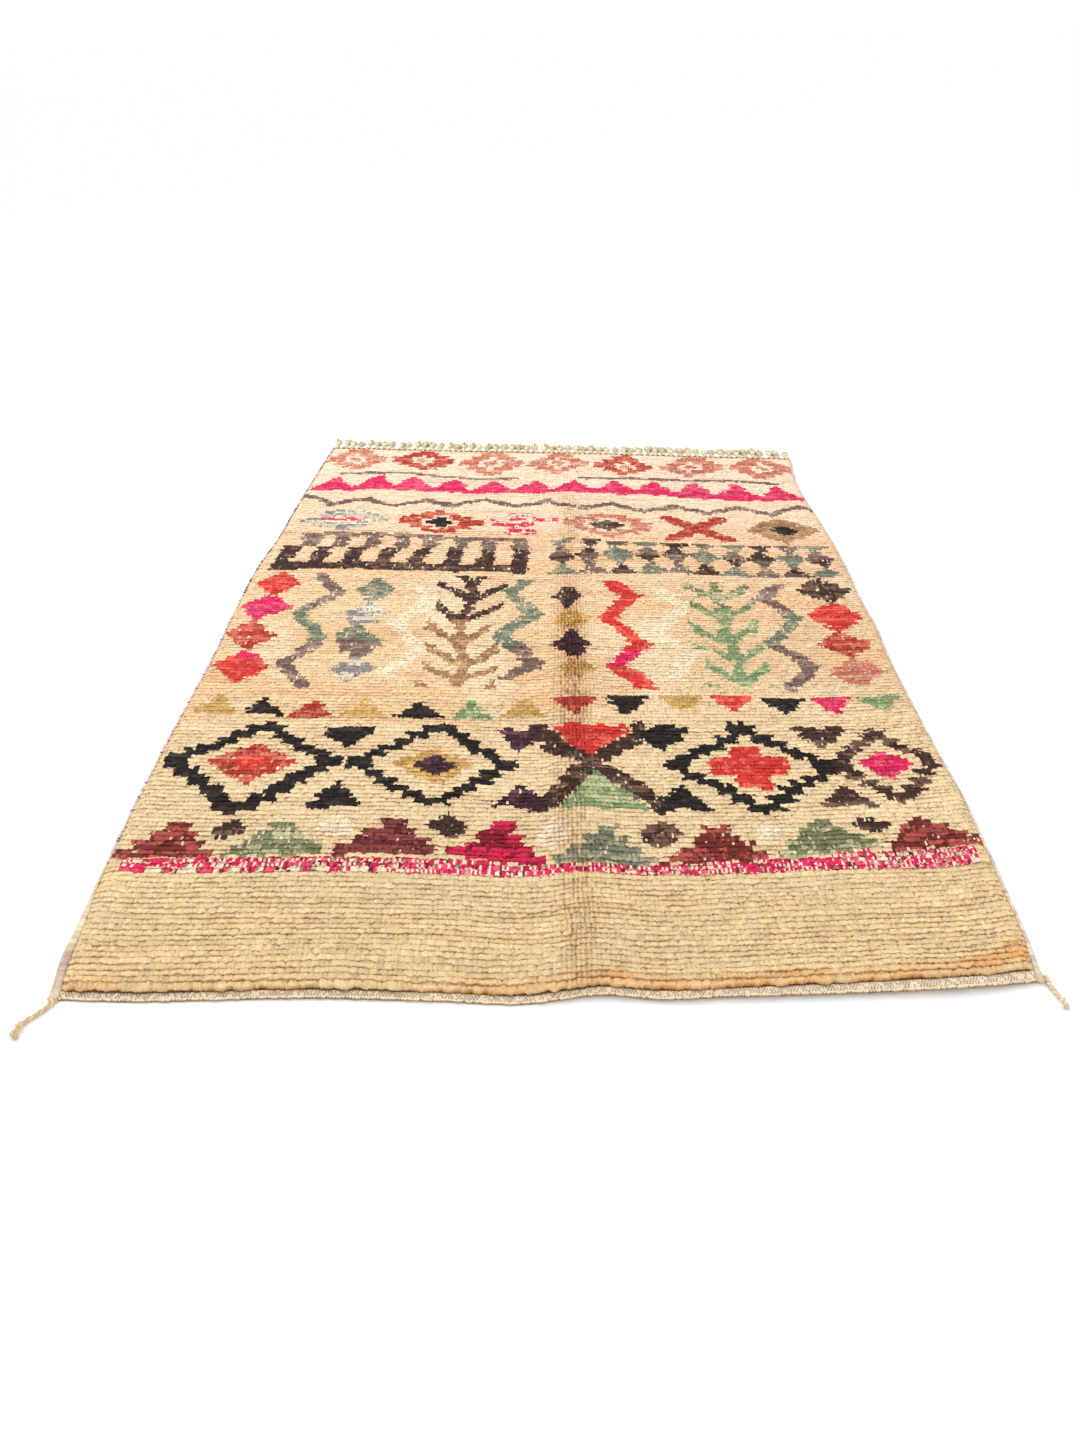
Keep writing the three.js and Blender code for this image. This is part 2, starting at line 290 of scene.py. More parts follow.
# Yarns: a colour, the colour that is knotted in with it, the second one's share, and cream flecks
YARN_COLOURS = {
    "ground": ((236, 209, 159), (236, 209, 159), 0, 0),
    "ivory": ((248, 230, 196), (240, 221, 185), 0.3, 0),
    "coal": ((30, 25, 22), (58, 47, 42), 0.3, 0),
    "bark": ((68, 45, 36), (118, 88, 74), 0.4, 0.02),
    "brick": ((184, 60, 46), (216, 114, 90), 0.45, 0.01),
    "rose": ((210, 126, 104), (228, 162, 136), 0.45, 0.03),
    "red": ((218, 56, 48), (238, 100, 84), 0.4, 0),
    "pink": ((230, 34, 98), (240, 88, 120), 0.4, 0),
    "mauve": ((122, 98, 88), (162, 136, 120), 0.45, 0.03),
    "ash": ((148, 144, 140), (228, 214, 190), 0.5, 0),
    "teal": ((124, 130, 110), (166, 164, 136), 0.4, 0.02),
    "green": ((136, 160, 112), (182, 190, 142), 0.4, 0.02),
    "moss": ((126, 132, 94), (188, 186, 144), 0.4, 0.04),
    "ochre": ((218, 176, 106), (200, 156, 88), 0.4, 0),
    "purple": ((62, 32, 42), (98, 62, 74), 0.35, 0.01),
    "plum": ((98, 36, 44), (142, 68, 62), 0.4, 0.01),
    "khaki": ((166, 126, 90), (198, 156, 114), 0.45, 0.02),
    "cerise": ((208, 34, 76), (140, 24, 46), 0.4, 0),
    "blush": ((232, 52, 104), (248, 222, 190), 0.5, 0),
    "russet": ((116, 42, 36), (178, 82, 74), 0.4, 0.01),
}
YARNS = {
    name: (srgb(*colour), srgb(*second), share, flecks)
    for name, (colour, second, share, flecks) in YARN_COLOURS.items()
}
YARN_NAMES = list(YARNS)
GROUND, IVORY = YARNS["ground"][0], YARNS["ivory"][0]
# The speckled stripe's yarns, over ivory: from and to which chance each is knotted
STRIPE_YARNS = (
    ("pink", 0.54, 2.0),
    ("cerise", 0.38, 0.54),
    ("green", 0.26, 0.30),
    ("plum", 0.30, 0.34),
)
STRIPE_ROWS = (21, 23.7)
STRIPE_MARGIN = 2.5

# The ground's shades along the rug: row, red, green, blue
GROUND_SHADES = np.array([
    (0, 234, 203, 152),
    (3, 234, 207, 158),
    (20, 235, 209, 162),
    (40, 239, 214, 170),
    (60, 240, 211, 167),
    (100, 242, 209, 165),
    (125, 249, 214, 176),
    (155, 255, 224, 194),
    (188, 255, 231, 206),
])
PEACH = srgb(243, 190, 136)
STAIN = srgb(232, 172, 104)
# Across the rug: shares of the width, and how strongly the first rows are stained there
STAIN_STRENGTH = (
    (0.0, 0.035, 0.06, 0.36, 0.42, 0.50, 0.55, 0.75, 0.80, 0.86, 1.0),
    (0.6, 0.8, 0.0, 0.0, 0.55, 0.55, 1.0, 0.95, 0.3, 0.95, 1.15),
)
NEAR_SHADE = np.array((0.42, 0.29, 0.20))  # the shade under the first row
SIDE_SHADE = 0.8
CLOTH_EDGE = srgb(196, 180, 150)
RIGHT_PAINTED_LIGHT = 0.05  # painted light: how much brighter the plain wool is made toward the right
# The rows between which the ground is streaked and patchy, and how gradually that comes and goes
FIELD_ROWS = (50, 125)
FIELD_FADE = 25
# How much the shade varies from tuft to tuft and from row to row, and how much of it undyed wool has
TUFT_VARIATION = 0.36
ROW_VARIATION = 0.18
UNDYED_SHARE = 0.35


class Chart:
    """The rug's yarns, on a grid with two cells for each knot both ways."""

    def __init__(self):
        row, knot = np.mgrid[0 : ROWS * 2, 0 : KNOTS * 2] / 2.0
        self.row, self.knot = row, knot
        self.yarn = np.zeros(row.shape, int)
        # The weaver counts unevenly, and every half row's edge ends a little to one side
        drift = 1.7 * noise(knot / 38, row / 13, 11) + 0.8 * noise(knot / 9, row / 5, 12)
        ragged = 0.95 * noise(knot / 4, row * 2, 13) + 0.5 * noise(knot / 3, np.floor(row), 17)
        self.slipped = knot + drift + ragged
        self.wavy = row + 1.9 * noise(knot / 34, row / 9, 14) + 0.45 * noise(knot / 3, row / 3, 15)

    def knit(self, where, yarn):
        self.yarn[where] = YARN_NAMES.index(yarn)

    def within(self, row, rows, knot=0.0, knots=float(KNOTS)):
        tall = (self.wavy >= row) & (self.wavy < row + rows)
        return tall & (self.slipped >= knot) & (self.slipped < knot + knots)

    def swap(self, row, rows, old, new):
        """The yarn changes part of the way through a motif, as when a ball runs out."""
        self.knit(self.within(row, rows) & (self.yarn == YARN_NAMES.index(old)), new)

    def at(self, knot, row):
        """How far each cell lies to the right of a knot, and beyond a row."""
        return self.slipped - knot, self.wavy - row

    def around(self, knot, row, width, rows):
        """The same to either side, and which cells lie inside a motif's box."""
        off, up = np.abs(self.at(knot, row))
        return off, up, (off <= width / 2) & (up <= rows / 2)

    def lozenge(self, knot, row, width, rows, yarn, line=0):
        """A stepped lozenge: filled, or an outline so many knots thick with coarser steps."""
        off, up, inside = self.around(knot, row, width, rows)
        step = 2 if line else 1
        edge = (width / 2) * (1 - np.floor(up / step) * step / (rows / 2))
        self.knit(inside & (off <= edge) & (off >= edge - (line or width)), yarn)

    def nested(self, knot, row, *lozenges):
        """Lozenges inside one another: width, rows, yarn and, for an outline, its line."""
        for lozenge in lozenges:
            self.lozenge(knot, row, *lozenge)

    def triangle(self, knot, row, width, rows, yarn, up=1, steps=1):
        """A stepped triangle on its base row, pointing away (up=1) or near (up=-1)."""
        off, climb = self.at(knot, row)
        climb = climb * up
        edge = (width / 2) * (1 - np.floor(climb / steps) * steps / rows)
        self.knit((climb >= 0) & (climb < rows) & (abs(off) <= edge), yarn)

    def cross(self, knot, row, width, rows, yarn, arm):
        off, up, inside = self.around(knot, row, width, rows)
        bars = (off <= width * arm / 2) | (up <= rows * arm / 2)
        self.knit(inside & bars, yarn)

    def diagonal_cross(self, knot, row, width, rows, yarn, line):
        off, up, inside = self.around(knot, row, width, rows)
        self.knit(inside & (abs(off - up * width / rows) <= line / 2), yarn)

    def comb(self, knot, row, width, rows, yarn, teeth, up=1):
        """A bar with square teeth on one side."""
        off, climb = self.at(knot, row)
        climb = climb * up
        along = off / width * (2 * teeth - 1)
        tooth = (climb < rows) & (np.floor(along) % 2 == 0)
        inside = (climb >= 0) & (along >= 0) & (along < 2 * teeth - 1)
        self.knit(inside & ((climb < rows * 0.3) | tooth), yarn)

    def branch(self, knot, row, width, rows, yarn, line=3.5, pitch=8):
        """An upright stem with slanting branches on both sides."""
        off, climb = np.abs(self.slipped - knot), self.wavy - row
        slanted = (np.mod(climb - off * 0.7, pitch) < 3) & (off <= width / 2)
        self.knit((climb >= 0) & (climb < rows) & ((off <= line / 2) | slanted), yarn)

    def zigzag(self, row, height, period, yarn, line):
        """A zigzag that runs across the rug."""
        share = np.mod(self.slipped / period, 1)
        crest = row + height * abs(2 * share - 1)
        self.knit(abs(self.wavy - crest) <= line / 2, yarn)

    def wave(self, knot, row, width, rows, yarn, line, phase=0.0):
        """A zigzag that runs along the rug, and turns back every nine rows."""
        share = np.mod((self.wavy - row) / 18 + phase, 1)
        middle = knot + width * (abs(2 * share - 1) - 0.5)
        self.knit(self.within(row, rows) & (abs(self.slipped - middle) <= line / 2), yarn)

    def triangles(self, row, rows, pitch, yarns, knot=0.0, count=8, up=1, fill=0.9, steps=1):
        """A line of triangles, each in the next yarn."""
        for index in range(count):
            middle = knot + pitch * (index + 0.5)
            self.triangle(middle, row, pitch * fill, rows, yarns[index % len(yarns)], up, steps)

    def lozenges(self, knot, row, width, rows, *yarns):
        """A chain of lozenges that runs along the rug, one in each yarn."""
        for index, yarn in enumerate(yarns):
            self.lozenge(knot, row + rows * (index + 0.5), width, rows, yarn)


def field_design():
    """The patterned field: common motifs of knotted rugs, in bands, in a layout of its own."""
    chart = Chart()
    near_bands(chart)
    middle_bands(chart)
    far_bands(chart)
    speckled_stripe(chart)
    return chart.yarn


def speckled_stripe(chart):
    """Pink, red and cream knots above the plain near end, in clumps at the lower left."""
    row, knot = chart.row, chart.knot
    clumps = noise(knot / 1.9, np.floor(row / 1.5), 6)
    turn_about = np.mod(knot * 2 + row * 2, 2) - 0.5
    specks = scatter(knot * 2, row * 2, 5)
    clumped = 0.46 + 0.75 * clumps + 0.45 * (specks - 0.5)
    speckled = specks + 0.12 * clumps + 0.4 * turn_about
    at_left = (row < 22.1) * (1 - smooth((knot / KNOTS - 0.22) / 0.2))
    chance = lerp(speckled, clumped, at_left)
    stripe = (row >= STRIPE_ROWS[0]) & (chart.wavy < STRIPE_ROWS[1])
    stripe &= (knot > STRIPE_MARGIN) & (knot < KNOTS - STRIPE_MARGIN)
    chart.knit(stripe, "ivory")
    for yarn, low, high in STRIPE_YARNS:
        chart.knit(stripe & (chance > low) & (chance < high), yarn)


def near_bands(chart):
    """Stepped triangles, then a line of large dark lozenges with coloured hearts."""
    mixed = ("russet", "moss", "plum", "cerise", "teal", "russet", "moss")
    chart.triangles(24, 8, 24.5, mixed, steps=2)
    for index in range(7):
        chart.lozenge(24.5 * (index + 1), 30.5, 8, 5, "ivory" if index % 2 else "bark")
    chart.nested(24, 47, (46, 26, "coal", 6.5), (23, 13, "brick"), (9, 5, "red"))
    chart.nested(69, 47, (42, 25, "coal", 5.5), (19, 11, "ochre"), (10, 6, "purple"))
    chart.diagonal_cross(109, 47, 32, 25, "bark", 7)
    chart.triangle(109, 59, 21, 9, "red", up=-1)
    chart.triangle(109, 35, 21, 9, "green")
    chart.lozenge(148, 47, 43, 25, "coal", 6)
    chart.cross(148, 47, 20, 13, "red", 0.42)
    chart.nested(182, 47, (27, 22, "bark", 4.5), (12, 8, "pink"))
    for middle, yarn in ((47, "coal"), (90, "purple"), (128, "coal"), (169, "bark")):
        chart.triangle(middle, 35.5, 13, 6, yarn)
        chart.triangle(middle, 58.5, 13, 6, yarn, up=-1)
    yarns = ("ochre", "coal", "brick", "ochre", "coal", "green")
    chart.triangles(61.5, 5, 14, yarns, count=7, fill=0.86)
    yarns = ("brick", "coal", "ochre", "red", "coal", "pink", "green")
    chart.triangles(66.5, 5, 14, yarns, knot=98, count=7, up=-1, fill=0.86)


def middle_bands(chart):
    """Upright chains, branches and zigzags in soft colours on the open ground."""
    chart.lozenges(9, 70, 15, 11, "red", "brick", "pink", "red")
    chart.wave(25, 69, 9, 44, "mauve", 5)
    chart.lozenges(41, 71, 13, 10, "ash", "teal", "ash", "teal")
    chart.wave(55, 72, 8, 38, "ivory", 5.5, phase=0.3)
    chart.branch(71, 69, 21, 44, "khaki")
    chart.wave(88, 71, 9, 42, "teal", 6, phase=0.5)
    chart.lozenges(104, 72, 11, 9.5, "ochre", "purple", "ochre", "bark")
    chart.wave(120, 69, 10, 43, "red", 6)
    chart.wave(135, 72, 8, 38, "ivory", 5.5, phase=0.4)
    chart.branch(151, 70, 20, 42, "green")
    chart.wave(168, 69, 9, 43, "mauve", 5, phase=0.5)
    chart.lozenges(185, 70, 16, 11, "rose", "brick", "red", "khaki")
    for row, rows, old, new in (
        (69, 17, "teal", "mauve"),
        (86, 12, "mauve", "teal"),
        (96, 20, "khaki", "bark"),
        (78, 6, "red", "pink"),
        (100, 12, "green", "moss"),
    ):
        chart.swap(row, rows, old, new)
    chart.comb(3, 115, 86, 13, "bark", 8)
    chart.comb(8, 133, 80, 5, "mauve", 8, up=-1)
    for line, yarns in enumerate((("teal", "mauve", "bark"), ("mauve", "bark", "teal"))):
        chart.triangles(115 + 9 * line, 5, 9.8, yarns, knot=96, count=10, fill=0.98)
        chart.triangles(124 + 8 * line, 4, 9.8, yarns[::-1], knot=96, count=10, up=-1)


def far_bands(chart):
    """Speckled and brick shapes, a pink line of triangles, and faded brick at the far end."""
    chart.nested(20, 141, (34, 14, "ash"), (15, 6, "blush"))
    chart.lozenge(56, 141, 30, 14, "brick", 8)
    chart.cross(56, 141, 10, 6, "coal", 0.4)
    chart.cross(86, 141, 24, 13, "blush", 0.42)
    chart.nested(117, 141, (32, 14, "rose", 8), (12, 5, "bark"))
    chart.diagonal_cross(149, 141, 25, 14, "brick", 8)
    chart.nested(181, 141, (26, 14, "khaki"), (10, 5, "coal"))
    chart.zigzag(150.5, 4, 24, "mauve", 2.4)
    chart.triangles(160, 7, 16.3, ("pink",), count=12, fill=0.99)
    chart.knit(chart.within(158.5, 1.7), "pink")
    for knot, knots in ((8, 74), (108, 80)):
        chart.knit(chart.within(168, 1.5, knot, knots), "mauve")
    for index in range(7):
        middle = 14 + index * 28
        chart.lozenge(middle, 179, 25, 15, "brick" if index % 3 == 1 else "rose", 8)
        chart.cross(middle, 179, 5, 3, "rose", 0.5)


def ground_colour(row, knot):
    """The undyed ground, in streaks that run across the rug, with stains on its first rows."""
    shades = (np.interp(row, GROUND_SHADES[:, 0], GROUND_SHADES[:, c]) for c in (1, 2, 3))
    shade = np.moveaxis(srgb(*shades), 0, -1)
    streak = noise(knot / 30, row / 1.3, 21) * 0.7 + noise(knot / 70, row / 6, 22) * 0.6
    begun, ended = (smooth((row - mark) / FIELD_FADE) for mark in FIELD_ROWS)
    in_field = begun * (1 - ended)
    amount = np.clip(streak * (0.16 + 0.55 * in_field) + 0.12 * in_field, 0, 0.7)
    peach = lerp(shade, PEACH, amount[..., None])
    pale = smooth(noise(knot / 16, row / 22, 24) * 1.6 - 0.5) * in_field
    mixed = lerp(peach, IVORY, 0.6 * pale[..., None])
    across = knot / KNOTS
    corner = smooth((across - 0.93) / 0.05)
    reach = 1.9 + 0.9 * noise(knot / 5, 0.5, 25) + (2.6 + 1.4 * noise(knot / 2, row, 28)) * corner
    stained = np.interp(across, *STAIN_STRENGTH) * (1 - smooth((row - reach + 0.8) / 1.6))
    patchy = 0.42 + 0.30 * noise(knot / 2.5, row, 26) + 0.42 * noise(knot / 8, row, 27)
    stained = np.clip(stained * np.clip(patchy, 0, 1), 0, 1)
    # Painted light: the plain wool is brightened toward the right, to make up for the key light coming from
    # the left
    painted_light = 1 + RIGHT_PAINTED_LIGHT * smooth((across - 0.55) / 0.4) * (1 - in_field)
    return lerp(mixed, STAIN, stained[..., None]) * painted_light[..., None]


def knot_colours(yarn):
    """Linear colours for each cell of the chart."""
    row, knot = np.mgrid[0 : yarn.shape[0], 0 : yarn.shape[1]] / 2.0
    first, second, share, flecks = (np.array(values)[yarn] for values in zip(*YARNS.values()))
    lot = 0.5 + 0.9 * noise(knot / 14, np.floor(row / 1.5), 34)
    streaks = 0.5 + 0.62 * noise(knot / 2.4, np.floor(row), 36)
    chance = 0.35 * scatter(knot * 2, row * 2, 31) + 0.65 * streaks
    picked = chance < share * (0.45 + 1.1 * np.clip(lot, 0, 1))
    colour = np.where(picked[..., None], second, first)
    flecked = scatter(knot * 2, row * 2, 35) < flecks * (0.4 + 2 * np.clip(lot, 0, 1))
    colour = np.where(flecked[..., None], IVORY * 0.85, colour)
    colour = np.where((yarn == 0)[..., None], ground_colour(row, knot), colour)
    by_tuft = scatter(knot * 2, row * 2, 32) - 0.5
    by_row = noise(knot / 18, np.floor(row), 33)
    dyed = np.where(yarn > YARN_NAMES.index("ivory"), 1.0, UNDYED_SHARE)
    return colour * (1 + dyed * (TUFT_VARIATION * by_tuft + ROW_VARIATION * by_row))[..., None]


def add_object(name, data):
    """Puts a mesh, light or camera in the scene."""
    thing = bpy.data.objects.new(name, data)
    bpy.context.scene.collection.objects.link(thing)
    return thing


def add_mesh(name, points, faces, colours=None, uv=None, depth=None, smooth_faces=True):
    """Makes a mesh object from numpy arrays. faces is a list of arrays, each of equal-sized faces."""
    mesh = bpy.data.meshes.new(name)
    loops = np.concatenate([f.ravel() for f in faces]).astype(np.int32)
    sizes = np.concatenate([np.full(len(f), f.shape[1]) for f in faces])
    mesh.vertices.add(len(points))
    mesh.vertices.foreach_set("co", np.asarray(points, np.float32).ravel())
    mesh.loops.add(len(loops))
    mesh.loops.foreach_set("vertex_index", loops)
    mesh.polygons.add(len(sizes))
    mesh.polygons.foreach_set("loop_start", (np.cumsum(sizes) - sizes).astype(np.int32))
    mesh.polygons.foreach_set("use_smooth", np.full(len(sizes), smooth_faces))
    mesh.update(calc_edges=True)
    if colours is not None:
        rgba = np.ones((len(loops), 4), np.float32)
        rgba[:, :3] = np.repeat(colours, sizes, axis=0)
        layer = mesh.color_attributes.new("yarn", "FLOAT_COLOR", "CORNER")
        layer.data.foreach_set("color", rgba.ravel())
    # The depth values are painted shade, read by the pile wool's groove shade
    if depth is not None:
        layer = mesh.attributes.new("depth", "FLOAT", "POINT")
        layer.data.foreach_set("value", np.asarray(depth, np.float32))
    if uv is not None:
        layer = mesh.uv_layers.new(name="OFBake")
        layer.data.foreach_set("uv", np.asarray(uv, np.float32)[loops].ravel())
    mesh.validate()
    return add_object(name, mesh)


def grid_faces(lines, columns):
    """Four-cornered faces between the points of a grid, facing up when lines run away."""
    first = np.arange(lines - 1)[:, None] * columns + np.arange(columns - 1)
    return stacked(first, first + 1, first + columns + 1, first + columns).reshape(-1, 4)


def grid_rim(lines, columns):
    """The points once round a grid."""
    index = np.arange(lines * columns).reshape(lines, columns)
    return np.concatenate([index[0, :-1], index[:-1, -1], index[-1, :0:-1], index[:0:-1, 0]])


def pile_surface(first_row, end_row):
    """The pile's top over some rows: places, and the painted shade that each of them gets for lying deep in
    grooves, creases and gaps between knots.
    """
    per_row = len(ROW_PROFILE)
    line = np.arange((end_row - first_row) * per_row + 1)[:, None]
    share, height, lean = (ROW_PROFILE[line % per_row, c] for c in range(3))
    column = np.arange(KNOTS * FACES_PER_KNOT + 1.0) + 0 * line
    row = first_row + line // per_row + 0 * column
    knot = column / FACES_PER_KNOT
    across, along = knot / KNOTS, (row + share) / ROWS
    x, y = plan(across, along)
    from_side = np.minimum(across, 1 - across)
    inner = smooth(np.minimum(along, 1 - along) * CALM_ENDS) * smooth(from_side * CALM_SIDES)
    fold = fold_line(along, x)
    in_first = row < 1

    # Rows wander, and every tuft hangs over the row before by its own amount
    tuft = scatter(np.floor(knot), row, 41) - 0.5
    strand_end = scatter(column, row, 42) - 0.5
    row_wave = 4.2 * noise(x / 0.22, y / 0.05, 43) + 1.4 * noise(x / 0.05, y / 0.03, 44)
    hang = 1.8 * noise(knot / 1.7, row, 53) + 5.0 * strand_end + 3.0 * tuft
    hang = hang + in_first * (3.2 * noise(knot / 1.3, row, 59) + 2.0 * noise(knot / 4.5, row, 60))
    front = np.where(share < 0.5, 0.8 + 0.2 * height, 0.25 * height)
    at_rim = 0.35 + 0.65 * smooth(np.minimum(from_side * CALM_SIDES, (1 - along) * CALM_ENDS))
    lean = np.where(in_first & (share < 0.05), 2.2, lean)
    y = y + MM * (row_wave * inner - lean * (1 + 0.4 * in_first) - hang * front * at_rim)
    slant = 1.5 * noise(knot / 6, row, 54)
    open_wave = (1.5 + 3.4 * fold) * (scatter(row, column, 46) - 0.5)
    side_wave = 1.3 * noise(x / 0.03, y / 0.045, 45) + open_wave
    x = x + MM * (side_wave + slant * (0.5 - share)) * inner

    # Grooves between rows come and go in short dashes, deepest in the plain near end
    dashes = 0.50 + 0.60 * noise(knot / 6, row, 47) + 0.8 * (scatter(column, row, 48) - 0.5)
    dashes = dashes + 0.34 * noise(knot / 30, row / 2.5, 55)
    broken = np.clip(dashes, 0.03, 1.3) * np.interp(along, *GROOVES_ALONG)
    crease = crease_lines(across, along)
    groove = (GROOVE_DEPTH * broken + CREASE_DEPTH * crease) * (1 - 0.45 * np.minimum(fold, 1.5))
    top = PILE_TOP + folds_at(across, along, x, y)
    top = top + MM * (0.8 * noise(x / 0.12, y / 0.1, 49) + 0.9 * tuft + 0.7 * strand_end)

    # Knots stand apart a little, and more in the middle fold
    between = np.mod(column, FACES_PER_KNOT) == 0
    deep = 0.55 + 0.8 * scatter(column, np.floor(along * 23), 50) * (0.5 + scatter(column, row, 57))
    notch = between * np.clip(1.9 * scatter(column, row, 58) - 0.2, 0.2, 1.5)
    tip = np.where(share < 0.2, 1.6, 1.0)
    first_tips = in_first * (share < 0.3)
    gap = 2.3 * notch * tip * (1 - 0.25 * first_tips) + 1.5 * between * fold * deep
    z = top - groove * (1 - height) - MM * (height + 0.5 * first_tips) * gap

    # The pile rounds off at its sides and ends
    half = plan(1.0, 0.5)[0]
    at_side = 1 - smooth(from_side * 2 * half / EDGE_ROUNDING)
    z = z - EDGE_DROP * at_side * (0.4 + 0.6 * height)
    z = z - (2.0 + 2.4 * (share < 0.05)) * MM * in_first
    z = z - FAR_SLOPE * (1 - smooth((1 - along) * ROWS / FAR_SLOPE_ROWS))
    outward = EDGE_BULGE * at_side * (0.5 + 0.5 * height)
    x = x + np.where(across < 0.5, -outward, outward)
    z = np.maximum(z + lift_at(across, y), GROUND_TOP + 2 * MM)
    # Painted shade: how dark each place is painted for lying low in the grooves and creases, between knots
    # and in the open middle fold
    depth = (1 - height) * np.clip(1.2 * broken + crease, 0, 1.3) + height * notch * 0.16
    depth = depth + between * 0.55 * fold * deep
    return x, y, z, np.clip(depth, 0, 1)


def fold_line(along, x):
    """How far the pile stands open along the rug's middle fold."""
    off = (x - plan(MIDDLE_FOLD, along)[0]) / MM
    wander = 14 * noise(along * 9, 1.5, 51)
    strength = np.interp(along, *FOLD_OPENING) * (0.9 + 0.3 * noise(along * 14, 7.5, 52))
    near_it = 1 - smooth(abs(off - wander) / np.interp(along, *FOLD_HALF_WIDTHS))
    return near_it * strength * (1 - smooth((along - 0.8) / 0.1))


def crease_lines(across, along):
    """A few thin creases across the pile, where the rug was folded."""
    total = 0
    for at, start, end, bow in CREASES:
        line = at + bow * noise(across * 5, at * 50, 56)
        inside = smooth((across - start) * 12) * smooth((end - across) * 12)
        total = total + inside * (abs(along - line) < CREASE_ROWS / ROWS)
    return np.clip(total, 0, 1)


def pile_band(name, first_row, end_row, colours):
    """A closed body of pile: knotted top, upright sides and a flat underside on the ground weave."""
    x, y, z, depth = pile_surface(first_row, end_row)
    lines, columns = x.shape
    per_row = len(ROW_PROFILE)
    column, line = (v.ravel() for v in np.meshgrid(np.arange(columns), np.arange(lines)))
    across, share = column / (columns - 1), line / (lines - 1)
    along = (first_row + line / per_row) / ROWS
    rim = grid_rim(lines, columns)
    foot_x, foot_y = plan(across[rim], along[rim])
    foot_z = GROUND_TOP + lift_at(across[rim], foot_y)
    foot = lines * columns + np.arange(len(rim))
    skirt = stacked(rim, foot, np.roll(foot, -1), np.roll(rim, -1))

    cell = np.arange(lines - 1)[:, None]
    half_row = (first_row + cell // per_row) * 2 + (cell % per_row >= FAR_HALF)
    top_colours = colours[half_row, np.arange(columns - 1)].reshape(-1, 3)
    # Painted shade on the pile's sides and underside: the ground wool darkened, most under the first row
    edge = GROUND * (SIDE_SHADE if first_row else NEAR_SHADE)
    # The sides keep a narrow strip of the texture map to themselves
    high, low = stacked(across, 0.04 + 0.96 * share), stacked(across, 0.03 * share)
    return add_mesh(
        name,
        np.concatenate([stacked(x, y, z).reshape(-1, 3), stacked(foot_x, foot_y, foot_z)]),
        [grid_faces(lines, columns), skirt, foot[::-1][None, :]],
        np.concatenate([top_colours, np.tile(edge, (len(skirt) + 1, 1))]),
        np.concatenate([high, low[rim]]),
        np.concatenate([depth.ravel(), np.full(len(rim), FOOT_SHADE)]),
    )


def ground_cloth(colours):
    """The ground weave under the pile, with the backs of the knots showing on its underside."""
    lines, columns = ROWS // 2 + 1, KNOTS // 2 + 1
    along, across = np.meshgrid(np.linspace(0, 1, lines), np.linspace(0, 1, columns), indexing="ij")
    x, y = plan(across, along)
    lift = lift_at(across, y)
    high, low = (stacked(x, y, z + lift).reshape(-1, 3) for z in (GROUND_TOP - CLOTH_INSET, CLOTH_INSET))
    count = lines * columns
    upper = grid_faces(lines, columns)
    rim = grid_rim(lines, columns)
    side = stacked(rim, rim + count, np.roll(rim, -1) + count, np.roll(rim, -1))
    knots = colours[1 : ROWS * 2 : 4, 1 : KNOTS * 2 : 4].reshape(-1, 3) * 0.82 + 0.02
    edge = np.tile(CLOTH_EDGE, (len(side), 1))
    return add_mesh(
        "ground_cloth",
        np.concatenate([high, low]),
        [upper, side, upper[:, ::-1] + count],
        np.concatenate([knots, edge, knots]),
        smooth_faces=False,
    )


def swept(middles, sides, ups, sections, colours):
    """A closed cord: points, and faces with their colours. Each section is a ring of (side, up)."""
    stations, corners = sections.shape[:2]
    sides, ups = (np.broadcast_to(way, middles.shape)[:, None] for way in (sides, ups))
    rings = middles[:, None] + sections[..., :1] * sides + sections[..., 1:] * ups
    first = np.arange(stations - 1)[:, None] * corners
    here = np.arange(corners)
    there = (here + 1) % corners
    walls = stacked(first + here, first + here + corners, first + there + corners, first + there)
    start, end = here[None, :], ((stations - 1) * corners + here[::-1])[None, :]
    faces = [
        (walls.reshape(-1, 4), colours.reshape(-1, 3)),
        (start, colours[0, :1]),
        (end, colours[-1, :1]),
    ]
    return rings.reshape(-1, 3), faces


def joined(name, parts):
    """One object from several closed parts."""
    by_size = {}
    count = 0
    for points, blocks in parts:
        for faces, colours in blocks:
            by_size.setdefault(faces.shape[1], []).append((faces + count, colours))
        count += len(points)
    groups = [list(zip(*by_size[size])) for size in sorted(by_size)]
    faces = [np.concatenate(group[0]) for group in groups]
    colours = np.concatenate([np.concatenate(group[1]) for group in groups])
    return add_mesh(name, np.concatenate([points for points, _ in parts]), faces, colours)


def directions(middles):
    """The level sideways direction and the upward direction at each station of a path."""
    ahead = np.gradient(middles, axis=0)
    ahead /= np.linalg.norm(ahead, axis=1)[:, None]
    side = np.cross(ahead, UP)
    side /= np.linalg.norm(side, axis=1)[:, None]
    return side, np.cross(side, ahead)


def ring(corners):
    """Angles about a cord, from its right side over its top."""
    return 2 * np.pi * (np.arange(corners) + 0.5) / corners


def strand(middles, radii, colour, corners=6):
    """A single yarn along a path, with its own colour."""
    angle = ring(corners)
    around = stacked(np.cos(angle), np.sin(angle))
    sections = np.broadcast_to(radii, len(middles))[:, None, None] * around
    colours = np.tile(colour, (len(middles) - 1, corners, 1))
    return swept(middles, *directions(middles), sections, colours)


# Selvedges: wool wrapped over the outer warps, each turn in the next bit of yarn
WRAP_PITCH = 4.6 * MM
WRAP_STEPS = 3
WRAP_CORNERS = 8
WRAP_FULLNESS = 0.97
SELVEDGE_THICKNESS = 8 * MM
SELVEDGE_CORD_WIDTH = 9 * MM
SELVEDGE_FLATTENING = 0.27
SELVEDGE_DARK = (72, 74, 86)
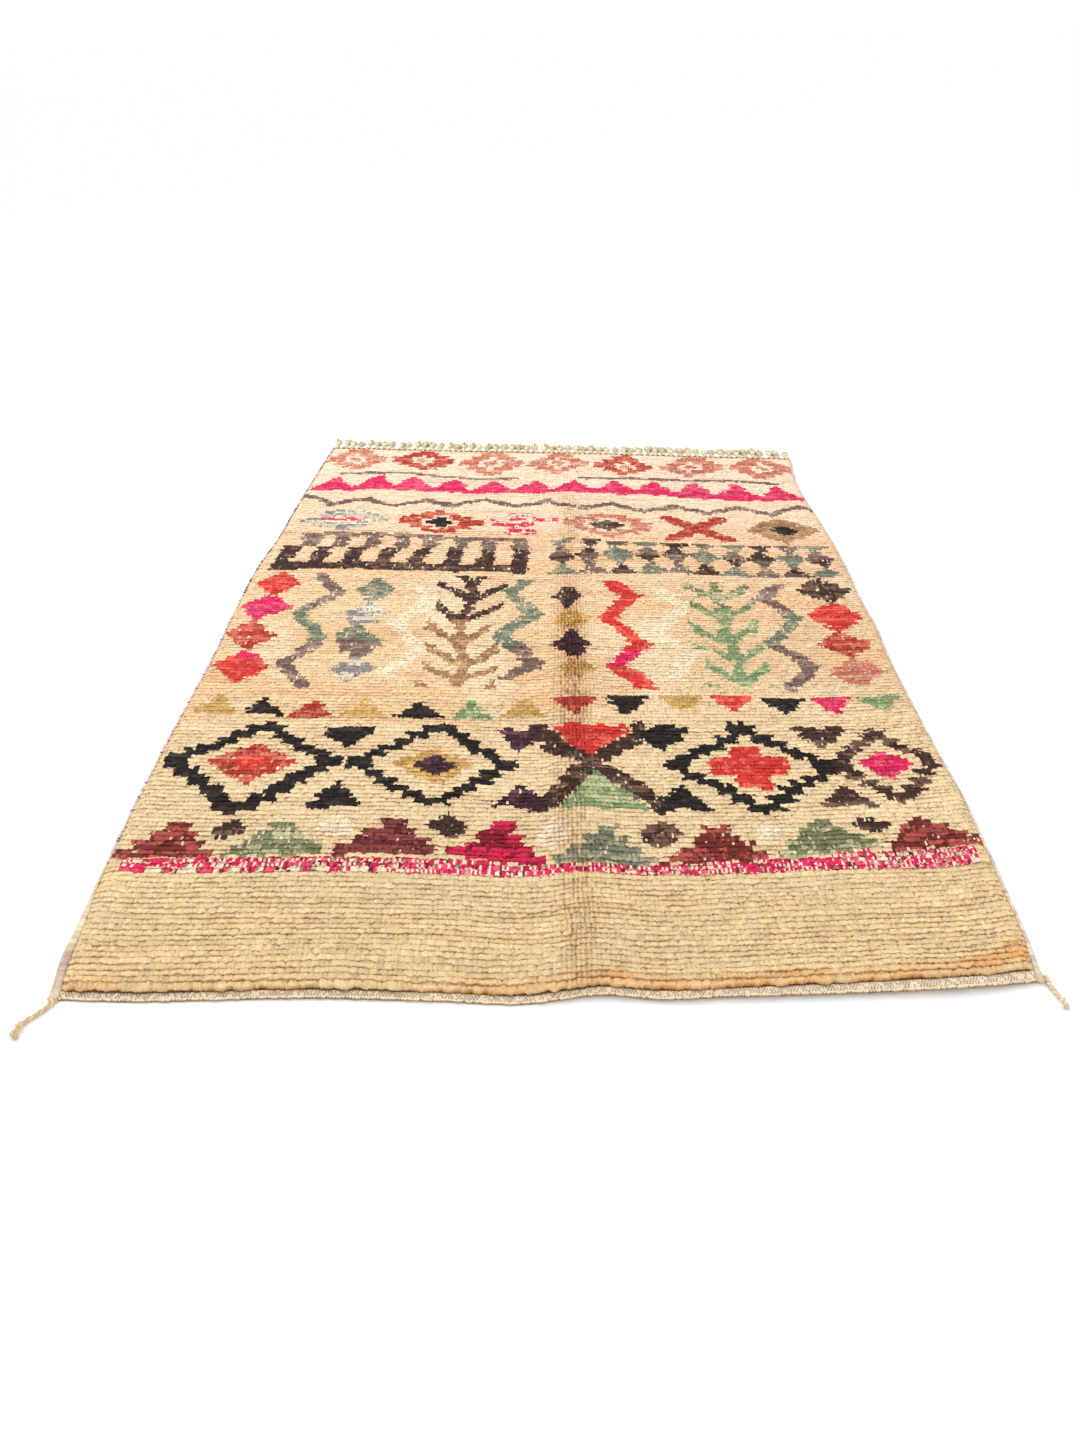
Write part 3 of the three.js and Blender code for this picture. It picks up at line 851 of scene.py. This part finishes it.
# The left and the right selvedge's first turns: where each bar ends in mm, and its colour
END_BARS = (
    (
        (18, (212, 194, 164)),
        (34, (200, 180, 154)),
        (50, (208, 186, 158)),
        (64, (194, 174, 156)),
        (72, (208, 164, 132)),
        (96, (192, 174, 158)),
        (112, (200, 168, 146)),
        (136, (214, 192, 160)),
    ),
    ((26, (218, 200, 170)),),
)
# Their later stretches: how far each reaches in metres, its share of dark turns, and its yarns
STRETCHES = (
    (
        (0.345, 0.0, (234, 216, 186), (222, 206, 180)),
        (0.70, 0.04, (226, 206, 204), (212, 194, 200), (240, 218, 204)),
        (1.05, 0.05, (240, 196, 184), (228, 200, 200), (246, 222, 204)),
        (1.50, 0.14, (212, 194, 206), (228, 212, 204), (228, 186, 184)),
        (3.00, 0.42, (216, 204, 186), (198, 188, 182)),
    ),
    (
        (3.00, 0.0, (216, 199, 180), (234, 214, 190), (220, 200, 188), (238, 219, 194), (198, 188, 180)),
    ),
)


def wrap_yarn(side, turn, run):
    """The yarn of one turn, run metres from the near end. The right side's turns go in pairs."""
    for end, colour in END_BARS[side]:
        if run < end * MM:
            return colour
    dark, *yarns = next(stretch for end, *stretch in STRETCHES[side] if run < end)
    if scatter(turn, 3.0, 63) < dark:
        return SELVEDGE_DARK
    picked = scatter(np.floor(turn / 2), 2.0, 62) if side else scatter(turn, 4.0, 64)
    return yarns[int(picked * len(yarns))]


def wrap_colour(side, turn, run):
    return srgb(*wrap_yarn(side, turn, run)) * (0.86 + 0.28 * scatter(turn, 2.0 - side, 61))


def selvedge(name, side):
    """One side's outer warps, wrapped turn by turn, and flat where the cord widens."""
    edge, width_column = ((LEFT, LEFT_WIDTH), (RIGHT, RIGHT_WIDTH))[side]
    across, inward = float(side), 1 - 2 * side
    near, far = (float(read(END_STATIONS, end, across)) for end in (NEAR, FAR))
    stations = int((far - near) / WRAP_PITCH) * WRAP_STEPS + 1
    y = np.linspace(near, far, stations)
    first_y, last_y = plan(across, 0.0)[1], plan(across, 1.0)[1]
    along = np.clip((y - first_y) / (last_y - first_y), 0, 1)
    width = read(SIDE_STATIONS, width_column, along)
    extra = width - SELVEDGE_CORD_WIDTH
    thick = SELVEDGE_THICKNESS - SELVEDGE_FLATTENING * np.maximum(extra, 0)
    turn = np.arange(stations) / WRAP_STEPS
    swell = 0.84 + 0.15 * np.sqrt(abs(np.sin(np.pi * turn)))
    swell *= 0.97 + 0.03 * noise(turn / 2.3, 0.0, 65)
    middle_x = read(SIDE_STATIONS, edge, along) + inward * width / 2
    middles = stacked(middle_x, y, lift_at(across, y) + thick / 2)
    angle = ring(WRAP_CORNERS)
    ridges = 1 - 0.16 * smooth(extra / (8 * MM))[:, None] * (np.cos(angle * 6) > 0)
    sections = stacked(
        (width / 2 * swell)[:, None] * np.cos(angle) / np.cos(np.pi / WRAP_CORNERS) * WRAP_FULLNESS,
        (thick / 2 * swell)[:, None] * np.sin(angle) * ridges,
    )
    painted = np.array([wrap_colour(side, i // WRAP_STEPS, y[i] - near) for i in range(stations - 1)])
    lengthwise = 1 + 0.16 * noise(angle[None, :] * 2.4, turn[:-1, None] / 7, 66)
    colours = painted[:, None] * lengthwise[..., None]
    return joined(name, [swept(middles, TOWARD_RIGHT, UP, sections, colours)])


# The flat-woven strip across the near end: a weave, and a rounded rim at its outer edge
STRIP_THICKNESS = 6 * MM
WARP_PITCH = 5.4 * MM
STRIP_LEFT = srgb(236, 214, 182)
STRIP_RIGHT = srgb(238, 220, 190)
STRIP_RIM = srgb(238, 220, 188)
STRIP_TICK = np.array((0.48, 0.42, 0.36))
STRIP_SHADE = np.array((0.48, 0.39, 0.30))
# Across the strip from its outer edge: share of the width, share of the thickness, rib's share
STRIP_PROFILE = np.array([
    (-0.50, 0.38, 0.02),
    (-0.46, 0.68, 0.05),
    (-0.37, 0.90, 0.06),
    (-0.27, 0.88, 0.06),
    (-0.20, 0.74, 0.03),
    (-0.10, 0.80, 0.12),
    (0.00, 0.82, 0.13),
    (0.10, 0.82, 0.13),
    (0.20, 0.81, 0.13),
    (0.30, 0.76, 0.10),
    (0.40, 0.62, 0.05),
    (0.50, 0.30, 0.00),
    (0.46, 0.03, 0.00),
    (-0.46, 0.03, 0.00),
])
RIM_POINTS = 3


def near_strip():
    """The strip's relief: warps stand upright in it, and show between the wefts."""
    across = stations_across(0.0, WARP_PITCH, 2)
    strip = strip_width(across)
    y = read(END_STATIONS, NEAR, across) + strip / 2
    middles = stacked(plan(across, 0.0)[0], y, lift_at(across, y))
    station = np.arange(len(across))[:, None]
    corner = np.arange(len(STRIP_PROFILE))[None, :]
    side, height, rib = STRIP_PROFILE.T
    over = np.where((station + corner // 2) % 2 == 0, 1.0, -1.0)
    height = height + rib * (over + 0.8 * noise(station / 3.0, corner / 2.0, 71))
    loops = 1.3 * MM * noise(station / 3.0, 0.0, 72) + 0.5 * MM * over
    side = side * strip[:, None] + loops * (corner < RIM_POINTS)
    sections = stacked(side, height * STRIP_THICKNESS)[:, ::-1]
    colours = strip_colours(station[:-1], corner.size - 2 - corner, across[:-1, None])
    return joined("near_end_strip_weave", [swept(middles, TOWARD_FAR, UP, sections, colours)])


def strip_colours(station, place, across):
    """The strip's wool, darker where a warp shows as a tick, with painted shade on the lower side of its
    rim.
    """
    patch = noise(station / 60, 0.5, 74)
    share = smooth(across * 1.3 - 0.1 + 0.2 * patch)[..., None]
    in_rim = (place < RIM_POINTS) & (place >= 0)
    colour = np.where(in_rim[..., None], STRIP_RIM, lerp(STRIP_LEFT, STRIP_RIGHT, share))
    brick = (station + place // 2) % 2 == 0
    tick = brick & (scatter(station, place // 2, 73) > np.where(in_rim, 0.72, 0.36 + 0.2 * patch))
    between = (place == RIM_POINTS) & (scatter(station, place, 77) > 0.35)
    # The last mask paints shade on the lower side of the strip's rim
    for darker, shade in ((tick, STRIP_TICK), (between, STRIP_TICK), (place < 1, STRIP_SHADE)):
        colour = np.where(darker[..., None], colour * shade, colour)
    return colour * (1 + 0.10 * noise(station / 2.4, place / 2.5, 75))[..., None]


# The twined cord across the far end
TWINE_PITCH = 9.5 * MM
TWINE_STEPS = 4
TWINE_CORNERS = 10
FAR_CORD_THICKNESS = 9 * MM
TWINE_YARNS = (srgb(222, 194, 140), srgb(132, 84, 40))


def far_cord():
    """Two yarns that take turns over each other across the far end."""
    across = stations_across(1.0, TWINE_PITCH, TWINE_STEPS)
    y = read(END_STATIONS, FAR, across) - FAR_CORD_WIDTH / 2
    middles = stacked(plan(across, 1.0)[0], y, FAR_CORD_THICKNESS / 2)
    angle = ring(TWINE_CORNERS)
    turn = np.arange(len(across))[:, None] / TWINE_STEPS + angle / (2 * np.pi)
    swell = 0.76 + 0.22 * abs(np.sin(np.pi * turn)) ** 0.6
    around = stacked(np.cos(angle) * FAR_CORD_WIDTH / 2, np.sin(angle) * FAR_CORD_THICKNESS / 2)
    which = np.floor(turn[:-1]).astype(int)
    tone = 0.85 + 0.3 * scatter(which, 0, 75)
    colours = np.array(TWINE_YARNS)[which % 2] * tone[..., None]
    return joined("far_end_twining", [swept(middles, TOWARD_NEAR, UP, swell[..., None] * around, colours)])


# Fringe: warps drawn together in a knot, with loose ends past it
FRINGE_YARNS = (srgb(234, 220, 186), srgb(216, 200, 160), srgb(244, 232, 202), srgb(200, 182, 142))
NECK_WARPS = 4
NECK_SPREAD = 7 * MM
WARP_RADIUS = 2.8 * MM
STRAND_STEPS = 7
BRUSH_STRANDS = 17
BRUSH_START = 4 * MM
STRAND_RADII = (2.3 * MM, 1.3 * MM)
KNOT_SHARE = 0.38
KNOT_SHARE_SPREAD = 0.09
BRUSH_SPREAD = 0.24
KNOT_SIZE = (8.8 * MM, 8.6 * MM, 6.2 * MM)
BRUSH_HALF_WIDTH = 12.5 * MM
BRUSH_RISE = 13 * MM


def lump(middle, size, colour, seed, rounds=7, corners=8):
    """A small uneven knot."""
    t = np.linspace(0, 1, rounds)
    middles = np.array(middle) + stacked(0, (t * 2 - 1) * size[1], 0)
    angle = ring(corners)
    swell = np.sqrt(np.clip(1 - (t * 2 - 1) ** 2, 0.03, 1))[:, None]
    swell = swell * (1 + 0.16 * noise(angle[None, :] * 1.3 + seed, t[:, None] * 5, 76))
    sections = stacked(swell * np.cos(angle) * size[0], swell * np.sin(angle) * size[2])
    return swept(middles, TOWARD_RIGHT, UP, sections, np.tile(colour, (rounds - 1, corners, 1)))


def neck_warp(index, warp, x, foot, knot):
    """One of the warps that are drawn together into a tassel's knot."""
    t = np.linspace(0, 1, STRAND_STEPS)
    start = x + (warp - (NECK_WARPS - 1) / 2) * NECK_SPREAD
    bend = 0.8 * MM * np.sin(t * 9 + warp * 2.1 + index)
    rise = 0.9 * MM * (1 + np.sin(t * 8 + warp * 2.1)) + 1.5 * MM * t
    path_x = lerp(start, knot[0], smooth(t * 1.5)) + bend
    path = stacked(path_x, lerp(foot, knot[1], t), WARP_RADIUS + GAP + rise)
    return strand(path, WARP_RADIUS, FRINGE_YARNS[(index * 3 + warp) % len(FRINGE_YARNS)] * 0.94)


def loose_end(index, loose, knot, reach, sway):
    """One of the loose ends past a tassel's knot, which fan out and arch."""
    t = np.linspace(0, 1, STRAND_STEPS)
    full = 1 + BRUSH_SPREAD * uneven(index, 9)
    fan = (loose / (BRUSH_STRANDS - 1) * 2 - 1) + 0.2 * uneven(index * 9 + loose, 4)
    reach = reach * (0.92 + 0.14 * uneven(index * 9 + loose, 5))
    curl = 1.6 * MM * np.sin(t * (5 + 3 * uneven(index + loose, 6)) + loose)
    spread = np.sin(np.pi * (0.15 + 0.68 * t)) * BRUSH_HALF_WIDTH * full
    arch = np.sin(np.pi * np.minimum(t * 0.72 + 0.2, 1.0))
    rise = BRUSH_RISE * (0.15 + 0.85 * abs(uneven(index + loose * 3, 7)))
    rise = rise * (1 - 0.5 * min(fan * fan, 1))
    path = stacked(
        knot[0] + sway * t + fan * spread + curl * t,
        knot[1] + BRUSH_START + (reach - BRUSH_START) * t,
        STRAND_RADII[0] + 0.2 * MM + rise * arch * full,
    )
    shade = FRINGE_YARNS[(index + loose * 3) % len(FRINGE_YARNS)]
    return strand(path, lerp(*STRAND_RADII, t), shade, corners=5)


def tassel(index):
    """The warps, knot and loose ends of one tassel of the fringe."""
    across = (index + 0.5) / TASSEL_COUNT
    left, right = (read(SIDE_STATIONS, side, 1.0) for side in (LEFT, RIGHT))
    x = float(lerp(left, right, across)) + TASSEL_SHIFT * uneven(index, 3)
    foot = float(read(END_STATIONS, FAR, across)) + GAP
    length = TASSEL_LENGTH + TASSEL_LENGTH_SPREAD * uneven(index, 1)
    sway = TASSEL_SWAY * uneven(index, 2)
    if index == 0:
        length, sway = length + CORNER_TASSEL_EXTRA, CORNER_TASSEL_SWAY
    to_knot = KNOT_SHARE + KNOT_SHARE_SPREAD * uneven(index, 8)
    past = 1 - to_knot
    knot = (x + sway * to_knot, foot + FRINGE_HEADING + length * to_knot, KNOT_SIZE[2] + 0.2 * MM)
    colour = FRINGE_YARNS[index % len(FRINGE_YARNS)]
    return [
        *(neck_warp(index, warp, x, foot, knot) for warp in range(NECK_WARPS)),
        lump(knot, KNOT_SIZE, colour, index * 1.7),
        *(loose_end(index, i, knot, length * past, sway * past) for i in range(BRUSH_STRANDS)),
    ]


def fringe():
    return joined("fringe_tassels", [part for index in range(TASSEL_COUNT) for part in tassel(index)])


# Corner ties: two plies twisted together, a knot, and frayed ends
TIE_STEPS = 44
TIE_TWIST = 20 * MM
PLY_RADIUS = 2.65 * MM
PLY_OFFSET = 2.1 * MM
TIE_ROOT_SPREAD = 2.5 * MM
TIE_ROOT_REACH = 14 * MM
TIE_HAIRS = 22
# The knot and the brush before they are scaled, in millimetres
TIE_KNOT_HEIGHT = 8.6
TIE_KNOT_YARN = 3.3
TIE_BRUSH_START = 12
TIE_BRUSH_LENGTH = 26
TIE_BRUSH_HALF_WIDTH = 8.5
# Each tie's route, its knot's scale and the yarns of its two plies
TIES = {
    "left": (LEFT_TIE_ROUTE, LEFT_KNOT_SCALE, (srgb(230, 208, 164), srgb(220, 190, 150))),
    "right": (RIGHT_TIE_ROUTE, RIGHT_KNOT_SCALE, (srgb(238, 218, 188), srgb(224, 202, 170))),
}


def spline_points(route, count):
    """Points evenly spaced on the smooth curve through a route on the floor, and its length."""
    corners = np.array(route, float) * MM
    ends = np.concatenate([[2 * corners[0] - corners[1]], corners, [2 * corners[-1] - corners[-2]]])
    t = np.linspace(0, 1, 40, endpoint=False)[:, None]
    dense = []
    for p0, p1, p2, p3 in zip(ends, ends[1:], ends[2:], ends[3:]):
        square = (2 * p0 - 5 * p1 + 4 * p2 - p3) * t**2
        cube = (3 * p1 - p0 - 3 * p2 + p3) * t**3
        dense.append(0.5 * (2 * p1 + (p2 - p0) * t + square + cube))
    dense = np.concatenate([*dense, corners[-1:]])
    run = np.concatenate([[0], np.cumsum(np.linalg.norm(np.diff(dense, axis=0), axis=1))])
    even = np.linspace(0, run[-1], count)
    x, y = (np.interp(even, run, dense[:, c]) for c in (0, 1))
    return stacked(x, y, TIE_DIAMETER / 2 + GAP), run[-1]


def tie_cord(name, middles, length, yarns):
    """Two plies that turn about the tie's path, wider apart at its root."""
    sides, ups = directions(middles)
    run = np.linspace(0, length, TIE_STEPS)
    spread = PLY_OFFSET + TIE_ROOT_SPREAD * (1 - smooth(run / TIE_ROOT_REACH))
    parts = []
    for ply, colour in enumerate(yarns):
        angle = (2 * np.pi * run / TIE_TWIST + np.pi * ply)[:, None]
        level = np.cos(angle) * sides * spread[:, None]
        upright = np.sin(angle) * ups * PLY_OFFSET
        parts.append(strand(middles + level + upright, PLY_RADIUS, colour, corners=8))
    return joined(name, parts)


def tie_brush(name, middles, scale, yarns):
    """The knot and the frayed brush at a tie's free end, which falls to the near side."""
    end, before = middles[-1], middles[-3]
    way = (end - before) / np.linalg.norm(end - before)
    axes = np.array((np.cross(way, UP), way, UP))
    size = scale * MM
    base = end - way * 1.5 * MM
    base[2] = TIE_KNOT_HEIGHT * size
    turn = 2 * np.pi * np.linspace(0, 1, 34)
    loop = stacked(
        (np.sin(turn) + 1.6 * np.sin(2 * turn)) * 2.3,
        (np.cos(turn) - 1.6 * np.cos(2 * turn)) * 2.1 + 9.5,
        -np.sin(3 * turn) * 2.4,
    )
    parts = [strand(base + size * loop @ axes, TIE_KNOT_YARN * size, yarns[0], corners=7)]
    s = np.linspace(0, 1, 8)
    bent = lerp(way, np.array(TOWARD_NEAR), s[:, None])
    for hair in range(TIE_HAIRS):
        fan = hair / (TIE_HAIRS - 1) * 2 - 1
        reach = (TIE_BRUSH_LENGTH + 5 * uneven(hair, 8)) * size
        spread = fan * TIE_BRUSH_HALF_WIDTH * smooth(s * 1.3) + 1.1 * np.sin(s * 7 + hair * 1.3) * s
        fall = -3.4 * s + 3.0 * uneven(hair, 9) * (1 - fan * fan) * smooth(s * 2)
        path = base + TIE_BRUSH_START * size * way + (reach * s)[:, None] * bent
        path = path + size * stacked(spread, 0, fall) @ axes
        colour = yarns[hair % 2] * (0.9 + 0.2 * scatter(hair, 1.0, 81))
        parts.append(strand(path, (1.7 - 0.8 * s) * size, colour, corners=5))
    return joined(name, parts)


# Wool: how its fibres stretch, how fine its mottling is, and the noise's middle range
FIBRE_STRETCH = (1.0, 0.35, 0.6)
MOTTLE_SCALE = 60
NOISE_RANGE = (0.3, 0.7)
WOOL_TONE = 0.97
MATTE_WOOL = {
    "Roughness": 0.92,
    "Specular IOR Level": 0.08,
    "Sheen Weight": 0.06,
    "Sheen Roughness": 0.6,
}
GROOVE_SHADE = (0.50, 0.27, 0.12)


def node(tree, kind, inputs=None, **settings):
    """A shader node with its settings, and the constants on its inputs."""
    made = tree.nodes.new(kind)
    for key, value in settings.items():
        setattr(made, key, value)
    for key, value in (inputs or {}).items():
        made.inputs[key].default_value = value
    return made


def attribute(tree, name, output):
    return node(tree, "ShaderNodeAttribute", attribute_type="GEOMETRY", attribute_name=name).outputs[output]


def noise_texture(tree, place, **inputs):
    made = node(tree, "ShaderNodeTexNoise", inputs)
    tree.links.new(place, made.inputs["Vector"])
    return made.outputs["Fac"]


def remap(tree, value, low, high, start=0.0, end=1.0):
    """Spreads a value that runs from start to end over the range from low to high."""
    limits = {"From Min": start, "From Max": end, "To Min": low, "To Max": high}
    made = node(tree, "ShaderNodeMapRange", limits)
    tree.links.new(value, made.inputs["Value"])
    return made.outputs[0]


def wool(name, fibre, bump_height, shade=0.22, groove=None):
    """Matte wool: the knotted or twisted yarn's own colour, mottled, with fibres in the bump, and painted
    shade in the grooves when a groove shade is given.
    """
    material = bpy.data.materials.new(name)
    material.use_nodes = True
    tree = material.node_tree
    tree.nodes.clear()
    link = tree.links.new
    surface = node(tree, "ShaderNodeBsdfPrincipled", MATTE_WOOL)
    link(surface.outputs["BSDF"], node(tree, "ShaderNodeOutputMaterial").inputs["Surface"])

    place = node(tree, "ShaderNodeTexCoord").outputs["Object"]
    stretch = node(tree, "ShaderNodeMapping", {"Scale": FIBRE_STRETCH})
    link(place, stretch.inputs["Vector"])
    fibres = noise_texture(tree, stretch.outputs["Vector"], Scale=fibre, Detail=3, Roughness=0.65)
    mottle = noise_texture(tree, place, Scale=MOTTLE_SCALE, Detail=2)
    tone = node(tree, "ShaderNodeMath", operation="MULTIPLY")
    fine = remap(tree, fibres, WOOL_TONE - shade, WOOL_TONE + shade * 0.6, *NOISE_RANGE)
    link(fine, tone.inputs[0])
    link(remap(tree, mottle, 0.94, 1.06, *NOISE_RANGE), tone.inputs[1])
    tinted = node(tree, "ShaderNodeVectorMath", operation="SCALE")
    link(attribute(tree, "yarn", "Color"), tinted.inputs["Vector"])
    link(tone.outputs[0], tinted.inputs["Scale"])
    colour = tinted.outputs["Vector"]
    # Painted shade: the colour darkens toward the groove shade where the depth attribute says a place lies
    # deep
    if groove is not None:
        mixed = node(tree, "ShaderNodeMix", {"A": (1, 1, 1), "B": groove}, data_type="VECTOR")
        link(attribute(tree, "depth", "Fac"), mixed.inputs["Factor"])
        shaded = node(tree, "ShaderNodeVectorMath", operation="MULTIPLY")
        link(colour, shaded.inputs[0])
        link(mixed.outputs[1], shaded.inputs[1])
        colour = shaded.outputs["Vector"]
    link(colour, surface.inputs["Base Color"])
    link(remap(tree, fibres, 0.84, 1.0), surface.inputs["Roughness"])
    bump = node(tree, "ShaderNodeBump", {"Strength": 0.8, "Distance": bump_height})
    link(fibres, bump.inputs["Height"])
    link(bump.outputs["Normal"], surface.inputs["Normal"])
    return material


def place_camera():
    data = bpy.data.cameras.new("camera")
    data.sensor_fit = "VERTICAL"
    data.sensor_height = SENSOR_HEIGHT
    data.lens = SENSOR_HEIGHT * FOCAL_SHARE
    data.clip_end = 100
    camera = add_object("camera", data)
    camera.location = CAMERA_PLACE
    camera.rotation_euler = (math.pi / 2 - CAMERA_PITCH, 0, CAMERA_YAW)
    bpy.context.scene.camera = camera


def soft_light(name, place, aim, size, power):
    """A large rectangular light that faces its aim."""
    data = bpy.data.lights.new(name, "AREA")
    data.shape = "RECTANGLE"
    data.size, data.size_y = size
    data.energy = power
    light = add_object(name, data)
    light.location = place
    light.rotation_euler = (Vector(aim) - Vector(place)).to_track_quat("-Z", "Y").to_euler()
    return light


def studio():
    """A pale floor, an even sky and two large soft lights."""
    corners = FLOOR_REACH * np.array([(-1, -1, 0), (1, -1, 0), (1, 1, 0), (-1, 1, 0)])
    floor = add_mesh("floor", corners, [np.array([[0, 1, 2, 3]])], smooth_faces=False)
    paint = bpy.data.materials.new("floor_paint")
    paint.use_nodes = True
    surface = paint.node_tree.nodes["Principled BSDF"]
    surface.inputs["Base Color"].default_value = (0.95, 0.95, 0.95, 1)
    surface.inputs["Roughness"].default_value = 0.8
    floor.data.materials.append(paint)
    world = bpy.data.worlds.new("sky")
    world.use_nodes = True
    sky = world.node_tree.nodes["Background"]
    sky.inputs["Color"].default_value = (1.0, 1.0, 1.0, 1)
    sky.inputs["Strength"].default_value = SKY_STRENGTH
    bpy.context.scene.world = world
    key = soft_light("key", (-2.6, 2.2, 3.4), (0, 0, 0), (2.4, 2.4), 100)
    fill = soft_light("fill", (2.5, -3.5, 3.0), (0, -0.4, 0), (3.0, 2.0), 8)
    bpy.context.scene.view_settings.view_transform = "Standard"


def finish_piece(thing, material, stands_for):
    """Gives a piece its material and body, and hides the CAD node that it stands for."""
    thing.data.materials.append(material)
    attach(thing, "root")
    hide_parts(stands_for)


def build_ties():
    """Both corner ties, each a soft cord with its knotted end."""
    tie_wool = wool("tie_wool", 900, 0.0006)
    for side, (route, scale, yarns) in TIES.items():
        path, length = spline_points(route, TIE_STEPS)
        cord = tie_cord(f"{side}_tie_cord", path, length, yarns)
        finish_piece(cord, tie_wool, f"{side}_corner_tie")
        brush = tie_brush(f"{side}_tie_brush", path, scale, yarns)
        finish_piece(brush, tie_wool, f"{side}_tie_tassel")


def build_rug():
    """The cloth with its pile in bands, then everything along its edges."""
    colours = knot_colours(field_design())
    pile_wool = wool("pile_wool", 420, 0.0016, shade=0.26, groove=GROOVE_SHADE)
    row_marks = np.linspace(0, ROWS, PILE_BANDS + 1).round().astype(int)
    for number in range(PILE_BANDS):
        band = pile_band(f"pile_band_{number + 1}", *row_marks[number : number + 2], colours)
        finish_piece(band, pile_wool, "rug_pile")
    cloth = ground_cloth(colours)
    finish_piece(cloth, wool("ground_weave", 700, 0.0006), "rug_pile")

    selvedge_wool = wool("selvedge_wool", 800, 0.0006)
    for edge, material, slot, stands_for in (
        (near_strip(), wool("end_wool", 800, 0.0007), "end_wool", "near_end_strip"),
        (selvedge("left_selvedge_wraps", 0), selvedge_wool, "selvedge_wool", "left_selvedge"),
        (selvedge("right_selvedge_wraps", 1), selvedge_wool, "selvedge_wool", "right_selvedge"),
        (far_cord(), wool("twined_wool", 800, 0.0006), "twined_wool", "far_end_cord"),
        (fringe(), wool("fringe_wool", 900, 0.0005), "fringe_wool", "fringe"),
    ):
        finish_piece(edge, material, stands_for)


place_camera()
build_ties()
build_rug()
studio()
